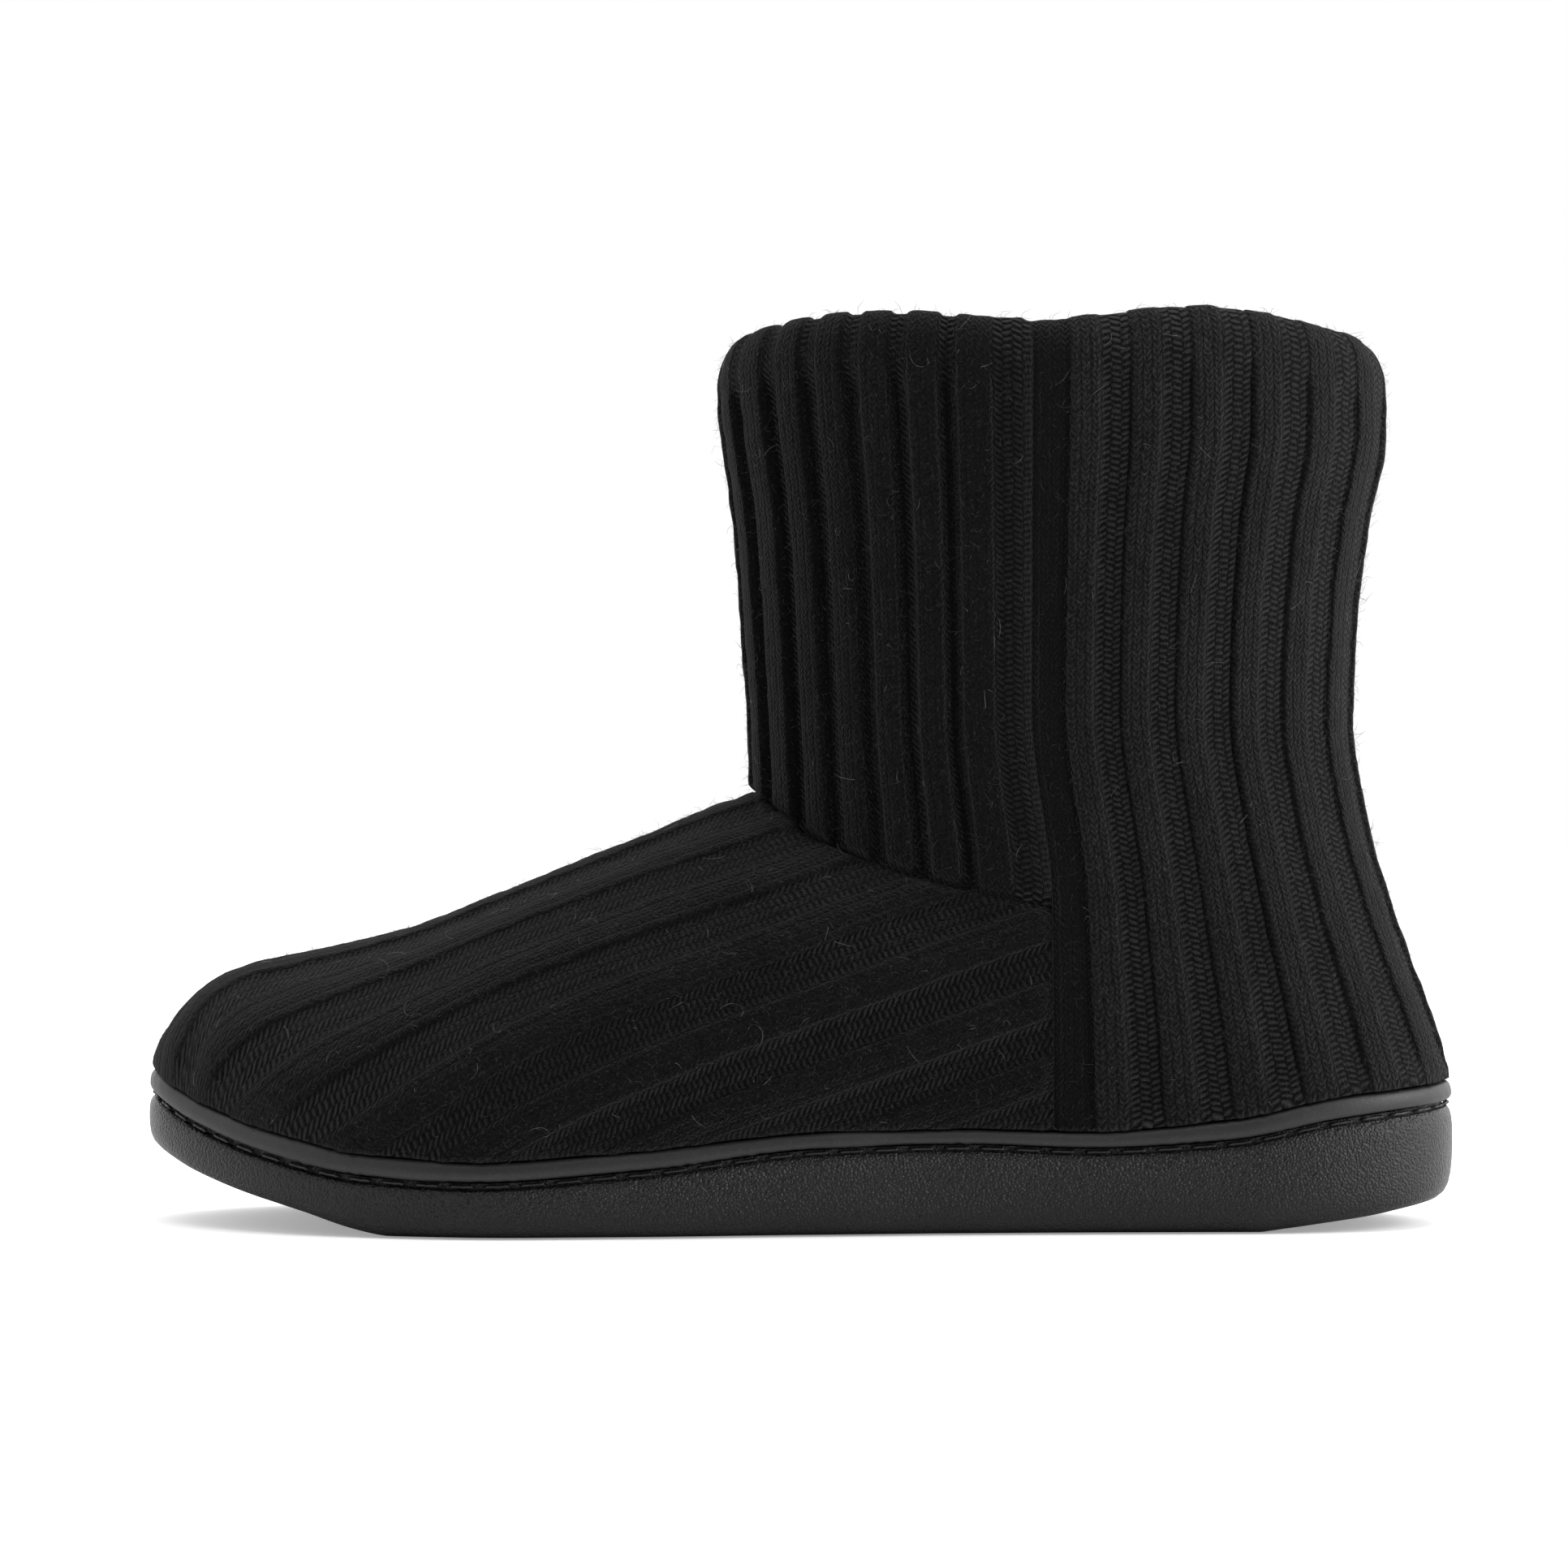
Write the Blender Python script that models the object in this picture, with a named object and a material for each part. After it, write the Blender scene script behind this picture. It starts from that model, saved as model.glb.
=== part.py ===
"""A left ankle slipper in ribbed knit on a moulded sole, toe towards -X and outer side towards -Y.

The floor is z = 0 and the origin lies under the middle of the sole.
Everything is worked out from the sole's outline, the side profile of the last and the shaft's rings.
"""
import math
from collections import namedtuple

import bmesh
import bpy
import numpy as np

# Sole sizes, in metres
SOLE_LENGTH = 0.275
BALL_WIDTH = 0.099
HEEL_EDGE_HEIGHT = 0.026
TOE_SPRING = 0.012
BED_THICKNESS = 0.012
TREAD_HEIGHT = 0.0012
TOE_ROUND = 0.085
HEEL_ROUND = 0.046
END_POWER = 2.25
TIP_TO_INNER_SIDE = 0.009
EDGE_ROUND = 0.0085
CHANNEL_HEIGHT = 0.0013
CHANNEL_DEPTH = 0.0022
RIM_WIDTH = 0.0062

# Tread bars under the ball and the heel
BAR_WIDTH = 0.0095
BAR_GAP = 0.0045
BAR_INSET = 0.0125
BALL_BARS = 6
HEEL_BARS = 4
BALL_BARS_FROM_TOE = 0.058
HEEL_BARS_FROM_HEEL = 0.026

# Binding and insole
BINDING_HEIGHT = 0.0042
BINDING_WIDTH = 0.0031
BINDING_FROM_EDGE = 0.0002
INSOLE_THICKNESS = 0.0055
INSOLE_BEVEL = 0.0014
FIT_GAP = 0.0003
HEM_GAP = 0.0010

# Upper
SHAFT_HEIGHT = 0.184
RIM_WAVE = 0.0065
INSTEP_HEIGHT = 0.0893
JUNCTION_HEIGHT = 0.0671
SHAFT_FRONT = 0.0655
SHAFT_BACK = 0.0768
SHAFT_HALF_WIDTH = 0.0385
SEAM_FROM_HEEL = 0.0900
SEAM_LEAN = 0.0042
SEAM_LEAN_HEIGHT = 0.040
WALL = 0.0042
COLLAR_THICKNESS = 0.0084
COLLAR_ROLL_HEIGHT = 0.0085
TOE_CAP_LENGTH = 0.022
TOE_CAP_POWER = 2.0
UPPER_FROM_EDGE = 0.0016
BULGE_ANGLE = math.radians(14)
SIDE_FULLNESS = 0.60
RIDGE_FULLNESS = 0.62
FOLD_FULLNESS = 0.30
FOLD_POWER = 1.5
RING_SPACING_HEIGHT = 0.129
HEEL_BLEND_POWER = 3
PANEL_RISE = 0.0006
EDGE_STEP = 0.0026
EDGE_STEP_MOST = 0.25
COVERED_GIRTH = 0.0645
RIB_PITCH = 0.0143
RIB_PHASE = 0.0
BAND_FROM = 0.2
BAND_TO = 0.7

# Rib heights and counts of each knit panel
VAMP_RIB_HEIGHT = 0.0012
FRONT_RIB_HEIGHT = 0.0013
BACK_RIB_HEIGHT = 0.0010
FRONT_RIBS_A_SIDE = 8
BACK_RIBS_A_SIDE = 7
COLUMNS_A_RIB = 3
FRONT_VALLEYS = (0,)
BACK_VALLEYS = (0,)

# Mesh counts
EDGE_POINTS = 84
SEAM_ROWS = 10
VAMP_ROWS = 9
TOE_CROWDING = 1.5
SHAFT_ROWS = 6
SHAFT_FIRST_ROW = 0.035
ROLL_ROWS = 3
CURVE_SAMPLES = 40
RIB_SAMPLES = 260
CREASE_ROUNDS = 30
OUTLINE_SAMPLES = 400

OUTER, INNER = -1, 1

# Along is a share of the sole length from the toe, centre and half are shares of the ball width.
OutlineRow = namedtuple("OutlineRow", "along centre half")
OUTLINE = (
    OutlineRow(0.00, 0.000, 0.460),
    OutlineRow(0.12, -0.014, 0.490),
    OutlineRow(0.25, -0.006, 0.500),
    OutlineRow(0.33, -0.015, 0.477),
    OutlineRow(0.42, -0.034, 0.432),
    OutlineRow(0.52, -0.034, 0.391),
    OutlineRow(0.62, -0.022, 0.368),
    OutlineRow(0.74, -0.008, 0.361),
    OutlineRow(0.86, 0.000, 0.360),
    OutlineRow(1.00, 0.000, 0.358),
)

# Edge is a share of the heel edge height, spring of the toe spring, bed of the bed thickness,
# and strip of the binding height.
SoleRow = namedtuple("SoleRow", "along edge spring bed strip")
SOLE = (
    SoleRow(0.00, 1.062, 1.14, 0.46, 0.95),
    SoleRow(0.04, 0.846, 0.71, 0.45, 1.02),
    SoleRow(0.10, 0.631, 0.31, 0.43, 1.07),
    SoleRow(0.18, 0.469, 0.00, 0.42, 1.00),
    SoleRow(0.26, 0.435, 0.00, 0.42, 0.93),
    SoleRow(0.38, 0.519, 0.00, 0.50, 0.90),
    SoleRow(0.52, 0.681, 0.00, 0.75, 0.75),
    SoleRow(0.62, 0.708, 0.00, 0.88, 0.68),
    SoleRow(0.72, 0.673, 0.00, 0.95, 0.74),
    SoleRow(0.82, 0.731, 0.00, 1.00, 0.93),
    SoleRow(0.90, 0.885, 0.07, 0.93, 1.00),
    SoleRow(1.00, 1.000, 0.34, 0.66, 0.90),
)

# The side wall from the underside up: inset is a share of the edge rounding, up of the wall.
WallRow = namedtuple("WallRow", "inset up")
SIDE_WALL = (
    WallRow(1.00, 0.00),
    WallRow(0.40, 0.06),
    WallRow(0.11, 0.22),
    WallRow(0.01, 0.50),
    WallRow(0.00, 0.80),
    WallRow(0.05, 0.96),
    WallRow(0.11, 1.00),
)

# The binding's section: across is a share of its width from outside, up of its height.
BindingRow = namedtuple("BindingRow", "across up")
BINDING = (
    BindingRow(0.14, 0.00),
    BindingRow(0.00, 0.32),
    BindingRow(0.06, 0.70),
    BindingRow(0.36, 0.97),
    BindingRow(0.72, 1.00),
    BindingRow(1.00, 0.80),
    BindingRow(1.00, 0.00),
)

# Height of the ridge over toes and instep. Along is a share of the way from the knit's tip to the
# shaft's front corner, up of the instep height.
RidgeRow = namedtuple("RidgeRow", "along up")
RIDGE = (
    RidgeRow(0.00, 0.540),
    RidgeRow(0.12, 0.580),
    RidgeRow(0.25, 0.616),
    RidgeRow(0.42, 0.673),
    RidgeRow(0.59, 0.767),
    RidgeRow(0.76, 0.864),
    RidgeRow(0.91, 0.952),
    RidgeRow(1.00, 1.000),
)

# The instep seam seen from the side, from the front corner to the side seam.
CreaseRow = namedtuple("CreaseRow", "along up")
CREASE = (
    CreaseRow(0.00, 1.000),
    CreaseRow(0.15, 0.671),
    CreaseRow(0.27, 0.513),
    CreaseRow(0.41, 0.387),
    CreaseRow(0.59, 0.230),
    CreaseRow(0.76, 0.122),
    CreaseRow(1.00, 0.000),
)

# The shaft's rings: up is a share of the shaft height, the rest of the shaft's own reaches.
ShaftRow = namedtuple("ShaftRow", "up front back width")
SHAFT = (
    ShaftRow(0.10, 0.870, 1.160, 0.930),
    ShaftRow(0.24, 0.870, 1.083, 0.940),
    ShaftRow(0.35, 0.872, 1.004, 0.930),
    ShaftRow(0.46, 0.876, 0.936, 0.905),
    ShaftRow(0.57, 0.886, 0.902, 0.890),
    ShaftRow(0.68, 0.905, 0.914, 0.905),
    ShaftRow(0.80, 0.932, 0.948, 0.945),
    ShaftRow(0.90, 0.972, 0.994, 0.985),
    ShaftRow(0.98, 1.000, 0.992, 1.000),
)
RING_POWER = 2.2

# The collar's crest: around is 0 in front, 1 at the side seam, 2 behind; lift is a share of the wave.
RimRow = namedtuple("RimRow", "around lift")
RIM = (
    RimRow(0.0, 0.15),
    RimRow(0.6, 0.80),
    RimRow(1.0, 0.54),
    RimRow(1.4, 1.00),
    RimRow(1.75, 0.46),
    RimRow(2.0, 0.00),
)

# Pitch of the vamp's ribs along the foot, as a share of the rib pitch at the instep.
PitchRow = namedtuple("PitchRow", "along pitch")
RIB_SPREAD = (
    PitchRow(0.00, 1.50),
    PitchRow(0.08, 1.38),
    PitchRow(0.14, 1.22),
    PitchRow(0.21, 1.08),
    PitchRow(0.34, 1.040),
    PitchRow(0.44, 1.008),
    PitchRow(0.52, 0.935),
    PitchRow(0.60, 0.930),
    PitchRow(0.70, 0.966),
)


def smooth(table, column, at):
    """A column of a table as a monotone cubic curve, read at the first column's value."""
    x = np.array([row[0] for row in table])
    y = np.array([getattr(row, column) for row in table])
    step, rise = np.diff(x), np.diff(y)
    chord = rise / step
    slope = np.concatenate(([chord[0]], np.zeros(len(x) - 2), [chord[-1]]))
    for i in range(1, len(x) - 1):
        if chord[i - 1] * chord[i] > 0:
            before, after = 2 * step[i] + step[i - 1], step[i] + 2 * step[i - 1]
            slope[i] = (before + after) / (before / chord[i - 1] + after / chord[i])
    at = np.clip(np.asarray(at, float), x[0], x[-1])
    i = np.clip(np.searchsorted(x, at) - 1, 0, len(x) - 2)
    t = (at - x[i]) / step[i]
    return (
        (1 + 2 * t) * (1 - t) ** 2 * y[i]
        + t * (1 - t) ** 2 * step[i] * slope[i]
        + t * t * (3 - 2 * t) * y[i + 1]
        + t * t * (t - 1) * step[i] * slope[i + 1]
    )


def ease(t):
    """A smooth step from 0 to 1."""
    t = np.clip(t, 0, 1)
    return t * t * (3 - 2 * t)


def rounding(t, power=END_POWER):
    """A rounded end: 0 at the tip, 1 where the straight side begins."""
    t = np.clip(t, 0, 1)
    return (1 - (1 - t) ** power) ** (1 / power)


def share(x):
    """Where x lies along the sole, from 0 at the toe to 1 at the heel."""
    return np.asarray(x) / SOLE_LENGTH + 0.5


def edge_height(s):
    return HEEL_EDGE_HEIGHT * smooth(SOLE, "edge", s)


def underside(s):
    return TREAD_HEIGHT + TOE_SPRING * smooth(SOLE, "spring", s)


def bed_height(s):
    return underside(s) + BED_THICKNESS * smooth(SOLE, "bed", s)


def strip_height(s):
    return BINDING_HEIGHT * smooth(SOLE, "strip", s)


def running_length(points):
    """Length along a line of points, from 0, over the last axis but one."""
    steps = np.linalg.norm(np.diff(points, axis=-2), axis=-1)
    return np.concatenate([np.zeros(steps.shape[:-1] + (1,)), np.cumsum(steps, -1)], -1)


def resample(points, shares):
    """Points at the given shares of a line's length."""
    length = running_length(points)
    at = np.asarray(shares) * length[-1]
    return np.stack([np.interp(at, length, points[:, k]) for k in range(points.shape[1])], 1)


def outline_side(side):
    """The sole's outline on one side, from the toe's tip to the heel's, with its outward normals."""
    turn = np.linspace(0, math.pi, OUTLINE_SAMPLES)
    s = (1 - np.cos(turn)) / 2
    half = BALL_WIDTH * smooth(OUTLINE, "half", s)
    half = half * rounding(s * SOLE_LENGTH / TOE_ROUND)
    half = half * rounding((1 - s) * SOLE_LENGTH / HEEL_ROUND)
    centre = BALL_WIDTH * smooth(OUTLINE, "centre", s)
    centre = centre + TIP_TO_INNER_SIDE * (1 - ease(s * SOLE_LENGTH / TOE_ROUND))
    points = np.stack([(s - 0.5) * SOLE_LENGTH, centre + side * half], 1)
    points = resample(points, np.linspace(0, 1, OUTLINE_SAMPLES))
    along = np.gradient(points, axis=0)
    along[0], along[-1] = (0, side), (0, -side)
    normal = side * np.stack([-along[:, 1], along[:, 0]], 1)
    return points, normal / np.linalg.norm(normal, axis=1)[:, None]


SIDES = {side: outline_side(side) for side in (OUTER, INNER)}


def edge_line(side, inset):
    """A line inside the outline on one side, from toe to heel, with the share along at each point."""
    points, normal = SIDES[side]
    return points - inset * normal, share(points[:, 0])


def edge_ring(inset, count=EDGE_POINTS):
    """A closed ring inside the outline: toe, outer side, heel, inner side. Returns x, y and share."""
    half = count // 2
    parts = []
    for side in (OUTER, INNER):
        line, s = edge_line(side, inset)
        pick = np.linspace(0, len(line) - 1, half + 1).round().astype(int)
        part = np.column_stack([line[pick], s[pick]])
        parts.append(part[:-1] if side == OUTER else part[:0:-1])
    return np.concatenate(parts)


def level_ring(inset, height):
    """A closed ring of 3-D points, where height gives z from the share along."""
    ring = edge_ring(inset)
    return np.column_stack([ring[:, :2], height(ring[:, 2])])


def new_object(name, vertices, faces, material):
    """Makes a named object from vertices and faces, with doubles merged and normals outwards."""
    mesh = bpy.data.meshes.new(name)
    mesh.from_pydata([tuple(map(float, v)) for v in vertices], [], faces)
    work = bmesh.new()
    work.from_mesh(mesh)
    bmesh.ops.remove_doubles(work, verts=work.verts, dist=0.000002)
    bmesh.ops.dissolve_degenerate(work, edges=work.edges, dist=0.000002)
    bmesh.ops.recalc_face_normals(work, faces=work.faces)
    work.to_mesh(mesh)
    work.free()
    mesh.materials.append(material)
    mesh.shade_smooth()
    mesh.set_sharp_from_angle(angle=math.radians(38))
    thing = bpy.data.objects.new(name, mesh)
    bpy.context.scene.collection.objects.link(thing)
    return thing


def finish(name, colour, roughness, coat=0.0):
    """A plain material with the piece's colour and gloss."""
    material = bpy.data.materials.new(name)
    material.use_nodes = True
    shader = material.node_tree.nodes["Principled BSDF"]
    shader.inputs["Base Color"].default_value = (*colour, 1)
    shader.inputs["Roughness"].default_value = roughness
    shader.inputs["Metallic"].default_value = 0
    shader.inputs["Coat Weight"].default_value = coat
    return material


def ring_faces(first, second, count):
    """Quads between two closed rings of vertex numbers that start at first and second."""
    return [
        (first + i, first + (i + 1) % count, second + (i + 1) % count, second + i)
        for i in range(count)
    ]


def ladder_faces(start, count):
    """Quads across a closed ring, from its outer side to its inner side."""
    faces = [(start, start + 1, start + count - 1)]
    for i in range(1, count // 2 - 1):
        faces.append((start + i, start + i + 1, start + count - i - 1, start + count - i))
    middle = start + count // 2
    faces.append((middle - 1, middle, middle + 1))
    return faces


def lofted(name, rings, material):
    """A solid through closed rings, capped across the first and the last."""
    vertices = np.concatenate(rings)
    faces = ladder_faces(0, EDGE_POINTS)
    for i in range(len(rings) - 1):
        faces += ring_faces(i * EDGE_POINTS, (i + 1) * EDGE_POINTS, EDGE_POINTS)
    faces += ladder_faces((len(rings) - 1) * EDGE_POINTS, EDGE_POINTS)
    return new_object(name, vertices, faces, material)


def tread_bars(material):
    """Cross bars that stand down from the sole's underside to the floor, for joining to the sole."""
    pitch = BAR_WIDTH + BAR_GAP
    fronts = [BALL_BARS_FROM_TOE + i * pitch for i in range(BALL_BARS)]
    heel_start = SOLE_LENGTH - HEEL_BARS_FROM_HEEL - HEEL_BARS * pitch
    fronts += [heel_start + i * pitch for i in range(HEEL_BARS)]
    vertices, faces = [], []
    for front in fronts:
        ends = []
        for offset in (0, BAR_WIDTH / 2, BAR_WIDTH):
            x = front + offset - SOLE_LENGTH / 2
            for side in (OUTER, INNER):
                line, _ = edge_line(side, BAR_INSET)
                ends.append((x, float(np.interp(x, line[:, 0], line[:, 1]))))
        low = [ends[0], ends[2], ends[4], ends[5], ends[3], ends[1]]
        first = len(vertices)
        top = float(underside(share(front - SOLE_LENGTH / 2))) + TREAD_HEIGHT
        vertices += [(x, y, 0) for x, y in low] + [(x, y, top) for x, y in low]
        faces += [(first, first + 1, first + 4, first + 5), (first + 1, first + 2, first + 3, first + 4)]
        faces += [(first + 11, first + 10, first + 7, first + 6)]
        faces += [(first + 10, first + 9, first + 8, first + 7)]
        faces += ring_faces(first, first + 6, 6)
    return new_object("tread_bars_in_sole", vertices, faces, material)


def make_outsole(material):
    """The moulded sole: rounded side wall, stitching channel, rim for the upper, cup and tread bars."""

    def wall(up):
        return lambda s: underside(s) + up * (edge_height(s) - CHANNEL_HEIGHT - underside(s))

    rings = [level_ring(row.inset * EDGE_ROUND, wall(row.up)) for row in SIDE_WALL]
    rings.append(level_ring(CHANNEL_DEPTH, wall(1)))
    rings.append(level_ring(CHANNEL_DEPTH, edge_height))
    rings.append(level_ring(CHANNEL_DEPTH + RIM_WIDTH, edge_height))
    rings.append(level_ring(CHANNEL_DEPTH + RIM_WIDTH, bed_height))
    sole = lofted("outsole", rings, material)
    bars = tread_bars(material)
    join = sole.modifiers.new("tread", "BOOLEAN")
    join.operation = "UNION"
    join.object = bars
    bars.hide_render = True
    bars.display_type = "WIRE"
    return sole


def make_binding(material):
    """The rolled strip that covers the seam between sole and knit, all the way round."""
    vertices, faces = [], []
    for row in BINDING:
        inset = BINDING_FROM_EDGE + row.across * BINDING_WIDTH
        ring = level_ring(
            inset, lambda s, up=row.up: edge_height(s) + FIT_GAP + up * strip_height(s)
        )
        vertices.append(ring)
    for i in range(len(BINDING)):
        after = (i + 1) % len(BINDING)
        faces += ring_faces(i * EDGE_POINTS, after * EDGE_POINTS, EDGE_POINTS)
    return new_object("binding", np.concatenate(vertices), faces, material)


def make_insole(material):
    """The foam footbed that fills the sole's cup."""
    inset = CHANNEL_DEPTH + RIM_WIDTH + FIT_GAP
    rings = [
        level_ring(inset, lambda s: bed_height(s) + FIT_GAP),
        level_ring(inset, lambda s: bed_height(s) + INSOLE_THICKNESS - INSOLE_BEVEL),
        level_ring(inset + INSOLE_BEVEL, lambda s: bed_height(s) + INSOLE_THICKNESS),
    ]
    return lofted("insole", rings, material)


def seam_x(z):
    """Where the side seam lies at a height."""
    lean = 1 - ease((np.asarray(z) - JUNCTION_HEIGHT) / SEAM_LEAN_HEIGHT)
    return SOLE_LENGTH / 2 - SEAM_FROM_HEEL + SEAM_LEAN * lean


def shaft_point(angle, side, ahead, z, half_width=None, seam=None):
    """A point on the shaft's ring. Angle 0 is the side seam, a quarter turn the front or back middle."""
    up = np.asarray(z) / SHAFT_HEIGHT
    seam = seam_x(z) if seam is None else seam
    if half_width is None:
        half_width = SHAFT_HALF_WIDTH * smooth(SHAFT, "width", up) - PANEL_RISE - BACK_RIB_HEIGHT
    top_seam = SOLE_LENGTH / 2 - SEAM_FROM_HEEL
    if ahead:
        end = top_seam - SHAFT_FRONT * smooth(SHAFT, "front", up) + PANEL_RISE + FRONT_RIB_HEIGHT
    else:
        end = top_seam + SHAFT_BACK * smooth(SHAFT, "back", up) - PANEL_RISE - BACK_RIB_HEIGHT
    power = 2 / RING_POWER
    x = seam + (end - seam) * np.sin(angle) ** power
    y = side * half_width * np.cos(angle) ** power
    return np.stack(np.broadcast_arrays(x, y, np.asarray(z, float)), -1)


def ring_angles(count, ahead):
    """Angles that cut a quarter of the shaft's ring into equal lengths."""
    angle = np.linspace(0, math.pi / 2, OUTLINE_SAMPLES)
    length = running_length(shaft_point(angle, OUTER, ahead, RING_SPACING_HEIGHT))
    return np.interp(np.linspace(0, length[-1], count + 1), length, angle)


def crest_height(around):
    """The collar's crest, from 0 in front over 1 at the seam to 2 behind."""
    return SHAFT_HEIGHT + RIM_WAVE * smooth(RIM, "lift", around)


def crease_points(angle, side):
    """The instep seam on the shaft's front, at ring angles from the side seam to the front corner."""
    z = np.full(len(angle), (INSTEP_HEIGHT + JUNCTION_HEIGHT) / 2)
    corner = shaft_point(math.pi / 2, side, True, INSTEP_HEIGHT)[0]
    for _ in range(CREASE_ROUNDS):
        x = shaft_point(angle, side, True, z)[:, 0]
        along = (x - corner) / (seam_x(JUNCTION_HEIGHT) - corner)
        z = JUNCTION_HEIGHT + (INSTEP_HEIGHT - JUNCTION_HEIGHT) * smooth(CREASE, "up", along)
    points = shaft_point(angle, side, True, z)
    points[angle == math.pi / 2] = shaft_point(math.pi / 2, side, True, INSTEP_HEIGHT)
    return points


def ridge_height(x, tip, corner):
    """The knit's ridge from its tip to the shaft's corner, with the toe rounded down to the binding."""
    low = float(base_height(share(tip)))
    high = INSTEP_HEIGHT * smooth(RIDGE, "up", (x - tip) / (corner - tip))
    return low + (high - low) * rounding((x - tip) / TOE_CAP_LENGTH, TOE_CAP_POWER)


def base_height(s):
    """Where the knit comes out above the binding."""
    return edge_height(s) + 2 * FIT_GAP + strip_height(s) + PANEL_RISE


class Vamp:
    """One side of the foot's knit: cross-sections from the binding up to the ridge or the instep seam."""

    def __init__(self, side):
        self.side = side
        line, s = edge_line(side, UPPER_FROM_EDGE)
        self.line, self.line_share = line, s
        self.seam = float(seam_x(0))
        angle = np.linspace(0, math.pi / 2, RIB_SAMPLES)[::-1]
        even = ring_angles(OUTLINE_SAMPLES, True)
        self.crease = crease_points(angle, side)
        self.covered = 1 - np.interp(angle, even, np.linspace(0, 1, len(even)))
        self.corner = float(self.crease[0, 0])
        self.tip = float(line[0, 0])

    def base(self, x):
        """The binding line's y and z at x."""
        y = np.interp(x, self.line[:, 0], self.line[:, 1])
        return y, base_height(np.interp(x, self.line[:, 0], self.line_share))

    def top(self, x):
        """The upper end of the section at x: y, z and how far it has turned down the side."""
        ridge_y = TIP_TO_INNER_SIDE * ease((self.corner - x) / (self.corner - self.tip))
        crease_y = np.interp(x, self.crease[:, 0], self.crease[:, 1])
        crease_z = np.interp(x, self.crease[:, 0], self.crease[:, 2])
        behind = x > self.corner
        y = np.where(behind, crease_y, ridge_y)
        z = np.where(behind, crease_z, ridge_height(x, self.tip, self.corner))
        base_y, _ = self.base(x)
        turned = np.where(behind, np.clip(crease_y / base_y, 0, 1) ** FOLD_POWER, 0)
        return y, z, turned

    def sections(self, x):
        """Points of the sections at an array of x: shape of x, then samples, then 3."""
        x = np.asarray(x, float)
        y0, z0 = self.base(x)
        y3, z3, turned = self.top(x)
        wide, high = np.abs(y0 - y3), z3 - z0
        turn = turned * math.pi / 2
        lean = BULGE_ANGLE * (1 - turned / 2)
        low = SIDE_FULLNESS * high
        top = RIDGE_FULLNESS * wide * np.cos(turn) + FOLD_FULLNESS * high * np.sin(turn)
        y1, z1 = y0 + self.side * low * np.sin(lean), z0 + low * np.cos(lean)
        y2, z2 = y3 + self.side * top * np.cos(turn), z3 - top * np.sin(turn)
        t = np.linspace(0, 1, CURVE_SAMPLES)
        weights = ((1 - t) ** 3, 3 * t * (1 - t) ** 2, 3 * t * t * (1 - t), t**3)
        y = sum(w * v[..., None] for w, v in zip(weights, (y0, y1, y2, y3)))
        z = sum(w * v[..., None] for w, v in zip(weights, (z0, z1, z2, z3)))
        return np.stack([np.broadcast_to(x[..., None], y.shape), y, z], -1)

    def visible_girth(self, x):
        return running_length(self.sections(x))[..., -1]

    def full_girth(self, x):
        """Girth from the binding up to the ridge, part of which the shaft covers behind the corner."""
        covered = np.interp(x, self.crease[:, 0], self.covered)
        return self.visible_girth(x) + COVERED_GIRTH * covered

    def pitch(self, x):
        return RIB_PITCH * smooth(RIB_SPREAD, "pitch", share(x))

    def rib_at(self, x, girth_up):
        """The rib number, counted from the ridge, at a girth above the binding."""
        return (self.full_girth(x) - girth_up) / self.pitch(x)

    def point(self, x, girth_up):
        """Points at x and a girth above the binding."""
        sections = self.sections(x)
        length = running_length(sections)
        up = np.clip(girth_up, 0, length[..., -1])
        i = np.clip((length < up[..., None]).sum(-1) - 1, 0, CURVE_SAMPLES - 2)
        rows = np.arange(len(x))
        a, b = length[rows, i], length[rows, i + 1]
        t = np.clip((up - a) / np.maximum(b - a, 1e-9), 0, 1)[..., None]
        return sections[rows, i] * (1 - t) + sections[rows, i + 1] * t

    def column(self, x_start, rib):
        """A line along one rib, from the seam at x_start down to the binding."""
        x = self.tip + (x_start - self.tip) * (1 - np.cos(np.linspace(0, math.pi, RIB_SAMPLES))) / 2
        up = self.full_girth(x) - rib * self.pitch(x)
        below = np.where(up < 0)[0]
        last = below[-1] if len(below) else 0
        if last + 1 == len(x):
            return np.repeat(self.point(x[-1:], up[-1:]), VAMP_ROWS + 1, 0)
        if up[last] < 0:
            crossing = x[last] + (x[last + 1] - x[last]) * up[last] / (up[last] - up[last + 1])
            x = np.concatenate([[crossing], x[last + 1 :]])
        up = np.maximum(self.full_girth(x) - rib * self.pitch(x), 0)
        up[0] = 0
        line = self.point(x, up)[::-1]
        return resample(line, vamp_row_shares(running_length(line)[-1]))


def vamp_row_shares(length):
    """Rows along a rib: one close to each end, and the rest closer together towards the toe."""
    step = min(EDGE_STEP / max(length, EDGE_STEP), EDGE_STEP_MOST)
    even = np.linspace(0, 1, VAMP_ROWS - 1)
    crowded = 1 - (1 - even) ** TOE_CROWDING
    return np.concatenate([[0], step + (1 - 2 * step) * crowded, [1]])


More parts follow.
